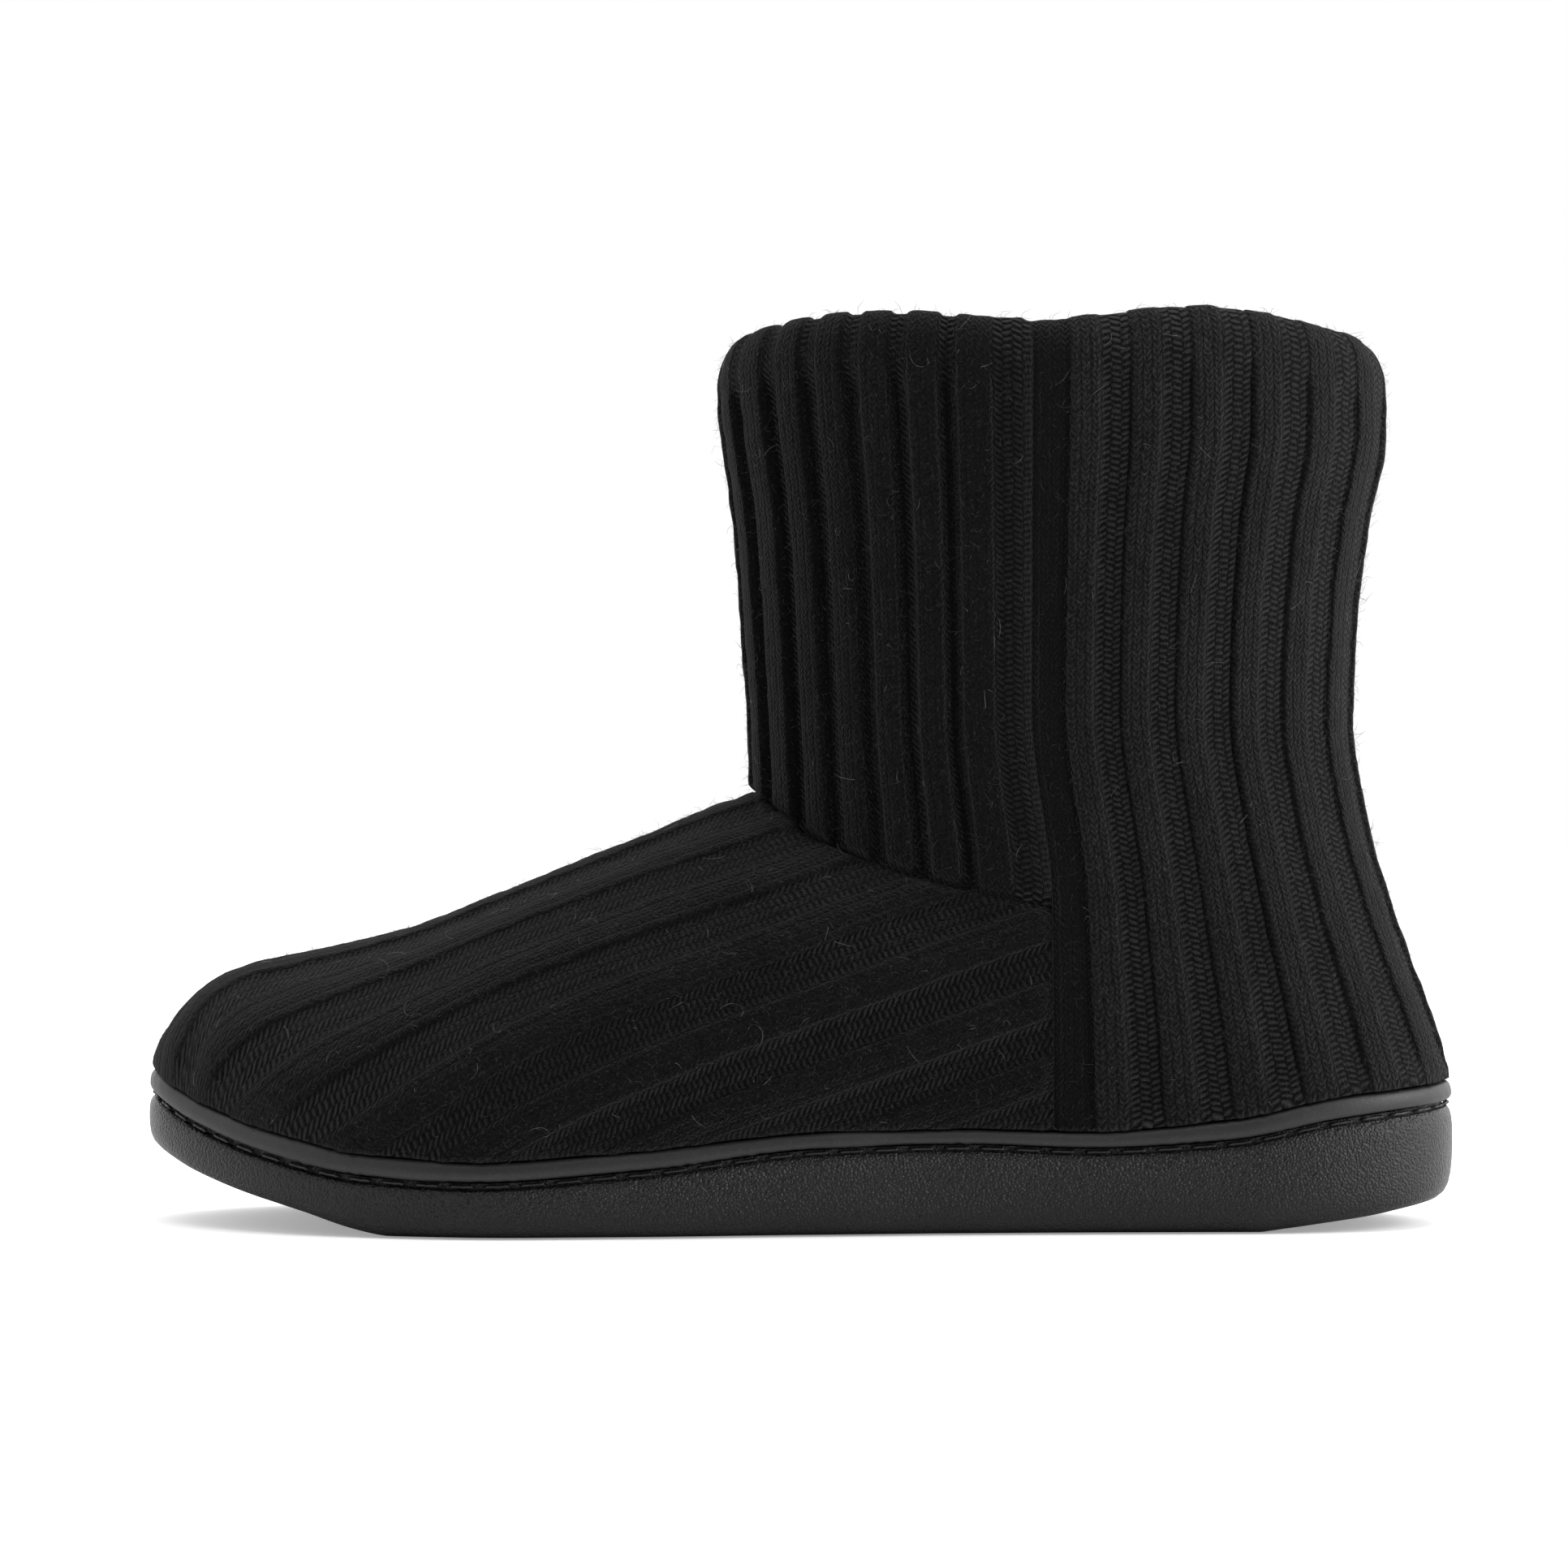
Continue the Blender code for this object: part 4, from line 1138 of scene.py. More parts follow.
@dataclass
class FrontKnit(ShaftKnit):
    """The shaft's front panel: rounded ribs with deep grooves, and a purl band beside the seam."""

    columns: int = 140
    rows: int = 100
    groove_half: float = 0.0011
    groove_wall: float = 0.0010
    groove_depth: float = 0.0023
    crown: float = 0.0004
    crown_reach: float = 0.004
    bottom_round: float = 0.003
    # Painted shade: reach of the dark lines along the instep seam and the side seam.
    bottom_dark: float = 0.0022
    seam_dark: float = 0.0012
    groove_purl: float = 0.0016
    grooves: tuple[float, ...] = (0.214, 0.340, 0.461, 0.577, 0.694, 0.820, 0.942)
    purl_to: float = 0.100
    purl_early: float = 0.006
    purl_fade: float = 0.014
    purl_drop: float = 0.0008
    allowance: tuple[float, float] = (0.0016, 0.0034)

    def side(self, side: Side) -> bpy.types.Object:
        """Builds one side of the front panel, from the side seam to the front middle.

        Args:
            side: the side of the foot.

        Returns:
            The grid of that side, facing outwards.
        """
        shares = np.linspace(0, 1, self.columns)
        bottoms, wall = SHAFT_FORM.front_wall(side, shares, self.drop, self.rows)
        wide = running_length(wall[:, self.rows // 2])[-1]
        groove = np.min([np.abs(shares - g) for g in self.grooves], axis=0) * wide
        rib = ease((groove - self.groove_half) / self.groove_wall)
        purl = 1 - ease((shares - self.purl_to + self.purl_early) / self.purl_fade)
        top = SHAFT_FORM.panel_rise + SHAFT_FORM.front_rib + self.crown * ease(groove / self.crown_reach)
        rise = top - self.groove_depth * (1 - rib) - self.purl_drop * purl
        points, length = self.over_collar(wall)
        above, fade = ease(length / self.bottom_round), self.fade(points, wall)
        loose = above * ease(shares * wide / self.seam_round)[:, None]
        rise = self.levelled(rise, SHAFT_FORM.front_rib, length, fade, 0 * length)
        marks = {
            "rise": self.seam_level * above + (rise - self.seam_level * above) * loose,
            "loose": loose, "course": length / self.course,
            "wale": side.value * np.interp(shares, *self.wales())[:, None] + 0 * length,
            "purl": np.maximum(purl, ease((self.groove_purl - groove) / 0.0006))[:, None] + 0 * length,
            # Painted shade: dark in the grooves, along the instep seam below and along the side seam.
            "painted_shade": (1 - rib)[:, None] * (1 - 0.6 * fade) + dark_line(length, self.bottom_dark)
            + dark_line(shares * wide, self.seam_dark)[:, None] * self.seam_shade,
        }
        inward, down = self.allowance
        inside = np.array([INSIDE_X, 0.0, 0.0]) - bottoms * (1, 1, 0)
        inside /= np.linalg.norm(inside, axis=1)[:, None]
        points = np.concatenate([(bottoms + inside * inward - (0, 0, down))[:, None], points], 1)
        marks = with_allowance(marks, 1, True)
        piece = cloth_grid(f"front_{side.name.lower()}", points, marks)
        face_away(piece, inside_line)
        return piece

    def wales(self) -> tuple[list[float], list[float]]:
        """Shares along the panel and the wale numbers there, whole numbers at each groove.

        Returns:
            The shares and their wale numbers.
        """
        at = [0.0, self.purl_to, *self.grooves, 1.0]
        count = [0.0, 4.0] + [9.0 + 5 * i for i in range(len(self.grooves))]
        return at, count + [count[-1] + 2.5]

    def build(self, material: bpy.types.Material) -> bpy.types.Object:
        """Builds and dresses the whole front panel."""
        return self.dress("front_knit", [self.side(side) for side in Side], material)


@dataclass
class HeelKnit(ShaftKnit):
    """The heel panel from sole to collar: bands of plain and purl stitches with a crease behind each."""

    columns: int = 168
    rows: int = 168
    blend_power: float = 5
    edge_rib: float = 0.086
    creases: tuple[float, ...] = (0.222, 0.361, 0.503, 0.645, 0.788, 0.930)
    purl_share: float = 0.49
    crease_half: float = 0.0010
    crease_depth: float = 0.0008
    purl_drop: float = 0.00095
    edge_drop: float = 0.0011
    # Painted shade over the sunken edge rib, along the side seam and in the creases.
    edge_dark: float = 0.88
    seam_dark: float = 0.0014
    crease_dark: float = 0.65
    crease_reach: float = 0.0009
    last_crease: float = 1.07

    def side(self, side: Side) -> bpy.types.Object:
        """Builds one side of the heel panel, from the side seam to the back middle.

        Args:
            side: the side of the foot.

        Returns:
            The grid of that side, facing outwards.
        """
        foot = Foot(side)
        shares = np.linspace(0, 1, self.columns)
        wall = foot.heel_wall(shares, self.drop, self.rows, 1.0, self.blend_power, 80)
        wide = running_length(wall[:, self.rows // 2])[-1]
        starts = np.array([self.edge_rib, *self.creases])
        index = np.clip(np.searchsorted(starts, shares, side="right") - 1, 0, len(starts) - 1)
        ends = np.append(starts[1:], self.last_crease)
        within = np.clip((shares - starts[index]) / (ends - starts)[index], 0, 1)
        purl = ease((within - (1 - self.purl_share)) / 0.09 + 0.5)
        purl = np.where(shares < self.edge_rib, 0, purl)
        crease = np.min([np.abs(shares - c) for c in starts], axis=0) * wide
        top = SHAFT_FORM.panel_rise + SHAFT_FORM.back_rib
        rise = top - self.purl_drop * purl
        rise -= self.crease_depth * (1 - rounding(crease / self.crease_half, 2.0))
        rise = rise - self.edge_drop * (1 - ease((shares - self.edge_rib + 0.008) / 0.012))
        points, length = self.over_collar(wall)
        at_foot, fade = self.at_foot(length), self.fade(points, wall)
        loose = at_foot * ease(shares * wide / self.seam_round)[:, None]
        rise = self.levelled(rise, SHAFT_FORM.back_rib, length, fade, self.pressed(length))
        edge = 1 - ease((shares - self.edge_rib) / 0.008 + 0.5)
        marks = {
            "rise": self.seam_level * at_foot + (rise - self.seam_level * at_foot) * loose,
            "loose": loose, "course": length / self.course,
            "wale": side.value * self.wales(shares)[:, None] + 0 * length,
            "purl": purl[:, None] + 0 * length,
            # Painted shade: dark in the creases, along the side seam and over the sunken edge rib.
            "painted_shade": self.crease_dark * dark_line(crease, self.crease_reach, 1.0)[:, None] * (1 - 0.6 * fade)
            + (dark_line(shares * wide, self.seam_dark) * self.seam_shade + self.edge_dark * edge)[:, None],
        }
        return self.with_tuck(f"heel_{side.name.lower()}", foot, points, marks)

    def wales(self, shares: Points) -> Points:
        """Wale numbers at shares along the panel, whole numbers at each crease.

        Args:
            shares: from 0 at the seam to 1 at the back's middle.

        Returns:
            One number for each share.
        """
        at = [0.0, self.edge_rib, *self.creases, self.last_crease]
        count = [0.0] + [4.0 + self.wales_a_rib * i for i in range(len(self.creases) + 2)]
        return np.interp(shares, at, count)

    def build(self, material: bpy.types.Material) -> bpy.types.Object:
        """Builds and dresses the whole heel panel."""
        return self.dress("heel_knit", [self.side(side) for side in Side], material)


@dataclass
class Lining(Knit):
    """The plush inside of the slipper, one sheet from the sole's rim up to the collar's hem."""

    inward: float = 0.0037
    pile: float = 0.00035
    pile_cell: float = 0.0019
    across: int = 40
    up_rows: int = 50
    below_crest: float = 0.004
    blend_power: float = 3
    weld: float = 0.0016

    def side(self, side: Side) -> list[bpy.types.Object]:
        """Builds the three coarse panels of one side.

        Args:
            side: the side of the foot.

        Returns:
            The grids of vamp, front and back.
        """
        foot = Foot(side)
        x = foot.tip + (foot.seam - foot.tip) * (1 - np.cos(np.linspace(0.06, 1, 60) * QUARTER))
        x[np.argmin(np.abs(x - foot.corner))] = foot.corner
        shares = np.linspace(0, 1, self.across)
        vamp = np.array([resample(line, shares) for line in foot.sections(x)])
        _, front = SHAFT_FORM.front_wall(side, shares, self.below_crest, self.up_rows)
        back = foot.heel_wall(shares, self.below_crest, self.up_rows * 2, 0.0, self.blend_power, 60)
        parts = []
        for label, points in (("vamp", vamp), ("front", front), ("back", back)):
            name = f"lining_{label}_{side.name.lower()}"
            parts.append(cloth_grid(name, points, {"wale": 0.0, "course": 0.0}))
            face_away(parts[-1], inside_line)
        return parts

    def build(self, material: bpy.types.Material) -> bpy.types.Object:
        """Builds and dresses the lining.

        Args:
            material: the lining's finish.

        Returns:
            The finished lining.
        """
        lining = joined("plush_lining", [part for side in Side for part in self.side(side)], self.weld)
        points, out = coordinates(lining), normals(lining)
        pile = self.pile * lattice_noise(points, self.pile_cell, 21)
        set_coordinates(lining, points - out * (self.inward + pile)[:, None])
        edit_all(lining, lambda: bpy.ops.mesh.flip_normals(), lambda: bpy.ops.mesh.faces_shade_smooth())
        stitch_map(lining)
        hand_over(lining, Slot.KNIT, material)
        return lining


# Sole, binding, stitching and insole

def ring_band(name: str, rings: Sequence[Points], closed: bool) -> bpy.types.Object:
    """A band through closed rings, from a cylinder without caps.

    Args:
        name: the piece's name.
        rings: closed rings of points, all of one length.
        closed: true if the last ring meets the first.

    Returns:
        The new object, with its rings welded.
    """
    stack = list(rings) + ([rings[0]] if closed else [])
    points = np.array([np.concatenate([ring, ring[:1]]) for ring in stack])
    return joined(name, [cloth_grid(name, points, {})], 0.000002)


@dataclass
class Outsole:
    """The moulded sole: rounded side wall, stitching channel, rim, cup and studded tread pads."""

    around: int = 560
    edge_round: float = 0.0085
    channel_height: float = 0.0013
    channel_depth: float = 0.0022
    rim: float = 0.0062
    bar_width: float = 0.0095
    bar_gap: float = 0.0045
    bar_tuck: float = 0.012
    ball_bars: tuple[int, float, float] = (6, 0.058, 0.0230)
    heel_bars: tuple[int, float, float] = (4, 0.188, 0.0140)
    stud_pitch: float = 0.0026
    stud_radius: float = 0.0009
    pad_level: float = 0.00045
    pad_bevel: float = 0.0009
    least_gap: float = 0.0001

    # The side wall's section: inset as a share of the edge's rounding, and the share of its height.
    profile = (
        (1.0, 0.0), (0.60, 0.004), (0.35, 0.030), (0.20, 0.085), (0.10, 0.17), (0.04, 0.29), (0.012, 0.42),
        (0.0, 0.55), (0.0, 0.68), (0.005, 0.80), (0.03, 0.89), (0.07, 0.955), (0.14, 1.0),
    )

    def level(self, inset: float, height: Callable[[Points], Points]) -> Points:
        """A closed ring of points at an inset, at heights read along the sole."""
        ring = LAST.ring(inset, self.around)
        return np.column_stack([ring[:, :2], height(ring[:, 2])])

    def under(self, s: Points) -> Points:
        """The underside, lifted at the toe."""
        return LAST.underside(s) + np.maximum(-smooth(EDGE_DROP, "value", s) * MM, 0)

    def foot(self, s: Points) -> Points:
        """The lower edge, which hangs below the underside at the ball and the middle."""
        drop = np.maximum(smooth(EDGE_DROP, "value", s) * MM, 0)
        return self.under(s) - np.minimum(drop, np.maximum(self.under(s) - self.least_gap, 0))

    def wall(self, up: float) -> Callable[[Points], Points]:
        """Heights on the side wall, at a share of the way up to the stitching channel."""
        return lambda s: self.foot(s) + up * (LAST.edge_height(s) - self.channel_height - self.foot(s))

    def build(self, material: bpy.types.Material) -> bpy.types.Object:
        """Builds the sole with its tread and dresses it.

        Args:
            material: the sole's finish.

        Returns:
            The finished sole.
        """
        inset = self.channel_depth + self.rim
        rings = [self.level(self.edge_round * turn, self.under) for turn in (2.6, 1.7, 1.5)]
        rings.append(self.level(self.edge_round * 1.3, self.foot))
        rings += [self.level(a * self.edge_round, self.wall(b)) for a, b in self.profile]
        rings += [self.level(self.channel_depth, height) for height in (self.wall(1.0), LAST.edge_height)]
        rings += [self.level(inset, height) for height in (LAST.edge_height, LAST.bed_height)]
        sole = ring_band("moulded_outsole", rings, False)
        close_ends(sole)
        sole = joined("moulded_outsole", [sole, *self.tread()], 0.0000001)
        edit_all(sole, lambda: bpy.ops.mesh.faces_shade_smooth())
        take(sole)
        bpy.ops.object.shade_smooth_by_angle(angle=math.radians(40))
        hand_over(sole, Slot.SOLE, material)
        return sole

    def tread(self) -> list[bpy.types.Object]:
        """The tread: a bevelled pad for each bar, with rows of small round studs on it.

        Returns:
            The pads, and all studs in one piece.
        """
        pads = []
        studs: list[tuple[float, float, float]] = []
        for count, start, inset in (self.ball_bars, self.heel_bars):
            for number in range(count):
                tucked = inset + self.bar_tuck * math.sin(number * math.pi / (count - 1))
                lines = [LAST.side_line(side, tucked)[0] for side in Side]
                front = start + number * (self.bar_width + self.bar_gap) - LAST.length / 2
                middle = front + self.bar_width / 2
                low, high = (float(np.interp(middle, line[:, 0], line[:, 1])) for line in lines)
                top = float(LAST.underside(LAST.share(middle)))
                deselect()
                bpy.ops.mesh.primitive_cube_add(
                    size=1, location=(middle, (low + high) / 2, (top + 0.0016) / 2 - 0.0001),
                    scale=(self.bar_width, high - low, top + 0.0008))
                bpy.ops.object.transform_apply(location=True, rotation=True, scale=True)
                pad = bpy.context.object
                apply_modifier(pad, "BEVEL", width=self.pad_bevel, segments=2)
                points = coordinates(pad)
                points[:, 2] += self.pad_level - points[:, 2].min()
                set_coordinates(pad, points)
                pads.append(pad)
                for x in np.arange(front + 0.0015, front + self.bar_width - 0.0010, self.stud_pitch):
                    shift = self.stud_pitch / 2 * (round((x - front) / self.stud_pitch) % 2)
                    ys = np.arange(low + 0.002 + shift, high - 0.0015, self.stud_pitch)
                    studs += [(x, float(y), self.pad_level) for y in ys]
        pads.append(self.studs(studs))
        return pads

    def studs(self, places: list[tuple[float, float, float]]) -> bpy.types.Object:
        """One round stud, copied to every place.

        Args:
            places: the middle of each stud.

        Returns:
            All the studs as one piece.
        """
        deselect()
        bpy.ops.mesh.primitive_uv_sphere_add(segments=8, ring_count=4, radius=self.stud_radius)
        stud = bpy.context.object
        shape = coordinates(stud) * (1, 1, 0.5)
        faces = [list(face.vertices) for face in stud.data.polygons]
        bpy.data.objects.remove(stud)
        points = np.concatenate([shape + place for place in places])
        starts = range(0, len(points), len(shape))
        return laid_out("studs", points, [[v + start for v in face] for start in starts for face in faces])


@dataclass
class Binding:
    """The rolled satin strip over the seam between sole and knit."""

    around: int = 1300
    from_edge: float = 0.0002
    width: float = 0.0031
    pull: float = 0.00007
    sag: float = 0.00016
    pulls: int = 9
    pull_height: float = 0.0042

    # The strip's section: shares of its depth and of its height.
    profile = (
        (0.20, 0.02), (0.06, 0.10), (0.00, 0.24), (0.00, 0.42), (0.03, 0.60), (0.10, 0.76), (0.22, 0.89),
        (0.38, 0.97), (0.55, 1.0), (0.75, 0.99), (0.92, 0.93), (1.0, 0.80), (1.0, 0.30), (0.85, 0.0),
    )

    def build(self, material: bpy.types.Material) -> bpy.types.Object:
        """Builds the strip with its fine pulls and dresses it.

        Args:
            material: the strip's finish.

        Returns:
            The finished strip.
        """
        rings = []
        for across, up in self.profile:
            ring = LAST.ring(self.from_edge + across * self.width, self.around)
            height = LAST.edge_height(ring[:, 2]) + LAST.fit_gap + up * LAST.strip_height(ring[:, 2])
            rings.append(np.column_stack([ring[:, :2], height]))
        rows = np.array(rings)
        length = running_length(rings[3])[None, :]
        up = np.array([u for _, u in self.profile])[:, None] * self.pull_height
        rng = np.random.default_rng(12)
        wave = np.zeros(rows.shape[:2])
        for _ in range(self.pulls):
            cell, slant, phase = rng.uniform(0.0011, 0.0028), rng.uniform(0.4, 1.0), rng.uniform(0, 7)
            wave += np.sin((length + slant * up * 2.2) / cell * math.pi + phase)
        patch, sag = (
            lattice_noise(rows.reshape(-1, 3), cell, seed).reshape(wave.shape)
            for cell, seed in ((0.016, 31), (0.011, 5))
        )
        out = self.pull * wave / 3 * ease(0.5 + patch) + self.sag * sag
        away = rows - rows.mean(axis=0, keepdims=True)
        away /= np.linalg.norm(away, axis=2, keepdims=True)
        strip = ring_band("rolled_binding", list(rows + away * out[..., None]), True)
        smooth_outwards(strip)
        hand_over(strip, Slot.STRIP, material)
        return strip


@dataclass
class RunningStitch:
    """The thread in the sole's channel: long stitches, each ending in a small tight knot."""

    pitch: float = 0.0072
    thickness: float = 0.00040
    inset: float = 0.00125
    below: float = 0.00060
    length_share: float = 0.74
    rings: int = 9
    sides: int = 8

    def build(self, material: bpy.types.Material) -> bpy.types.Object:
        """Lays one twisted stitch at every pitch around the sole.

        Args:
            material: the thread's finish.

        Returns:
            The finished thread.
        """
        ring = LAST.ring(self.inset, 3000)
        line = np.column_stack([ring[:, :2], LAST.edge_height(ring[:, 2]) - self.below])
        line = np.concatenate([line, line[:1]])
        length = running_length(line)
        count = int(length[-1] / self.pitch)
        stitches = [self.stitch(line, length, number * length[-1] / count) for number in range(count)]
        stride = stitches[0].shape[0] * self.sides
        rings = len(stitches[0])
        faces = [face for number in range(count) for face in self.tube_faces(number * stride, rings)]
        thread = laid_out("running_stitch", np.concatenate(stitches).reshape(-1, 3), faces)
        smooth_outwards(thread)
        hand_over(thread, Slot.SOLE, material)
        return thread

    def stitch(self, line: Points, length: Points, start: float) -> Points:
        """The rings of one stitch, thick at its end knot and thin where it dives in.

        Args:
            line: the channel's line around the sole.
            length: the length along it.
            start: where along it the stitch starts.

        Returns:
            The points, rings by sides by x, y, z.
        """
        t = np.linspace(0, 1, self.rings * 2)
        at = start + t * self.pitch * self.length_share
        centre = np.stack([np.interp(at, length, line[:, k]) for k in range(3)], 1)
        along = np.gradient(centre, axis=0)
        along /= np.linalg.norm(along, axis=1)[:, None]
        side = np.cross(along, (0, 0, 1.0))
        side /= np.linalg.norm(side, axis=1)[:, None]
        up = np.cross(side, along)
        knot = np.exp(-((t - 0.90) / 0.07) ** 2)
        radius = self.thickness * (np.sqrt(np.clip(1 - (2 * t - 1) ** 8, 0.02, 1)) * (0.85 + 0.55 * knot))
        dive = side * (0.0009 * ease((0.16 - t) / 0.16))[:, None] * self.towards_middle(centre, side)
        centre = centre + dive
        turn = np.linspace(0, 2 * math.pi, self.sides, endpoint=False)
        twist = t[:, None] * 9 + turn[None, :]
        lobed = radius[:, None] * (1 + 0.16 * np.cos(2 * (turn[None, :] + t[:, None] * 16)))
        return (centre[:, None] + lobed[..., None] * (
            np.cos(twist)[..., None] * side[:, None] + np.sin(twist)[..., None] * up[:, None]))

    def towards_middle(self, centre: Points, side: Points) -> Points:
        """Whether the side direction points to the sole's middle."""
        return np.sign(-(side[:, :2] * centre[:, :2]).sum(1))[:, None]

    def tube_faces(self, first: int, rings: int) -> list[list[int]]:
        """Faces of one closed tube of rings.

        Args:
            first: the number of the tube's first point.
            rings: how many rings it has.

        Returns:
            The point numbers of each face.
        """
        faces = [[first + i for i in range(self.sides)][::-1]]
        for k in range(rings - 1):
            for i in range(self.sides):
                a, b = first + k * self.sides + i, first + k * self.sides + (i + 1) % self.sides
                faces.append([a, b, b + self.sides, a + self.sides])
        last = first + (rings - 1) * self.sides
        return faces + [[last + i for i in range(self.sides)]]


@dataclass
class Insole:
    """The foam footbed in the sole's cup, with a soft domed cover and the heel's hollow."""

    around: int = 280
    thickness: float = 0.0055
    bevel: float = 0.0014
    pile: float = 0.00025
    pile_cell: float = 0.0022
    pile_from: float = 0.004
    inner_rings: int = 26
    fill: float = 0.85

    # The footbed's rim: insets as shares of the bevel, and shares of the thickness.
    profile = ((0.0, 0.0), (0.0, 0.6), (0.25, 0.85), (0.7, 0.97), (1.2, 1.0))

    def build(self, material: bpy.types.Material) -> bpy.types.Object:
        """Builds the footbed and dresses it.

        Args:
            material: the footbed's finish.

        Returns:
            The finished footbed.
        """
        inset = Outsole.channel_depth + Outsole.rim + LAST.fit_gap
        rings = []
        for out, up in self.profile:
            ring = LAST.ring(inset + out * self.bevel, self.around)
            height = LAST.bed_height(ring[:, 2]) + LAST.fit_gap + up * (self.thickness - LAST.fit_gap)
            rings.append(np.column_stack([ring[:, :2], height]))
        edge, centre = rings[-1], self.onto_middle(rings[-1])
        rings += [edge + (centre - edge) * share for share in np.linspace(0.06, 1, self.inner_rings)[:-1]]
        rings.append(self.onto_middle(rings[-1]))
        bed = ring_band("plush_insole", rings, False)
        points = coordinates(bed)
        pile = self.pile * lattice_noise(points, self.pile_cell, 40)
        points[:, 2] += np.where(points[:, 2] > self.pile_from, pile, 0)
        set_coordinates(bed, points)
        close_ends(bed)
        hand_over(bed, Slot.BED, material)
        return bed

    def onto_middle(self, ring: Points) -> Points:
        """Draws a closed ring in onto the line halfway between its two sides.

        Args:
            ring: the ring's points, one row each, from the toe round to the toe.

        Returns:
            The ring's points on that line.
        """
        mirror = np.concatenate([ring[:1], ring[:0:-1]])
        return np.column_stack([ring[:, 0], (ring[:, 1] + mirror[:, 1]) / 2, ring[:, 2]])


# Loose fibres

@dataclass
class Fibres:
    """Loose fibres that stand on the knit, joined in one piece."""

    name: str
    count: int
    shortest: float
    longest: float
    radius: float
    stand: float
    curl: float
    seed: int
    segments: int = 3

    def build(self, panels: Sequence[bpy.types.Object], material: bpy.types.Material) -> bpy.types.Object:
        """Grows the fibres on the panels and dresses them.

        Args:
            panels: the knit panels that they grow on.
            material: their finish.

        Returns:
            The joined fibres.
        """
        rng = np.random.default_rng(self.seed)
        roots, out = self.roots(panels, rng)
        reach = self.shortest + (self.longest - self.shortest) * rng.random(self.count) ** 2.2
        lean = rng.normal(size=(self.count, 3))
        lean -= (lean * out).sum(1)[:, None] * out
        lean /= np.linalg.norm(lean, axis=1)[:, None]
        across = np.cross(out, lean)
        bend = rng.normal(0, self.curl, (self.count, 2))
        rise = self.stand * (0.4 + 1.2 * rng.random(self.count))
        rings = []
        for k in range(self.segments + 1):
            t = k / self.segments
            flat = lean * np.cos(bend[:, :1] * t) + across * np.sin(bend[:, :1] * t)
            place = roots + flat * (reach * t)[:, None] * 0.9
            place = place + out * (reach * rise * t * (1 - 0.45 * t * np.abs(bend[:, 1])))[:, None]
            rings.append(place)
        thin = [1.0] * self.segments + [0.25]
        corners = []
        for ring, share in zip(rings, thin):
            for turn in (0.0, 2.1, 4.2):
                corners.append(ring + self.radius * share * (out * math.cos(turn) + across * math.sin(turn)))
        points = np.stack(corners, 1).reshape(-1, 3)
        pattern = [[0, 1, 2]]
        for k in range(self.segments):
            for i in range(3):
                a, b = 3 * k + i, 3 * k + (i + 1) % 3
                pattern.append([a, a + 3, b + 3, b])
        top = 3 * self.segments
        pattern.append([top + 2, top + 1, top])
        stride = 3 * (self.segments + 1)
        polygons = [[v + stride * n for v in face] for n in range(self.count) for face in pattern]
        fibres = laid_out(self.name, points, polygons)
        hand_over(fibres, Slot.KNIT, material)
        return fibres

    def roots(self, panels: Sequence[bpy.types.Object], rng: np.random.Generator) -> tuple[Points, Points]:
        """Root places and directions, spread evenly over the panels' area.

        Args:
            panels: the knit panels.
            rng: draws the places.

        Returns:
            A place and an outward direction for each fibre.
        """
        places, outs, areas = [], [], []
        for panel in panels:
            points, out = coordinates(panel), normals(panel)
            loose = mark_values(panel, "loose")
            quads = np.array([p.vertices[:3] for p in panel.data.polygons if len(p.vertices) > 3])
            quads = quads[loose[quads].min(1) > 0.5]
            a, b, c = points[quads[:, 0]], points[quads[:, 1]], points[quads[:, 2]]
            places.append(np.stack([a, b, c], 1))
            outs.append(out[quads[:, 0]])
            areas.append(np.linalg.norm(np.cross(b - a, c - a), axis=1))
        corners, out, area = np.concatenate(places), np.concatenate(outs), np.concatenate(areas)
        pick = rng.choice(len(area), self.count, p=area / area.sum())
        weight = rng.dirichlet((1, 1, 1), self.count)
        return (corners[pick] * weight[..., None]).sum(1), out[pick]


# Finishes

FLOAT, VECTOR = "NodeSocketFloat", "NodeSocketVector"


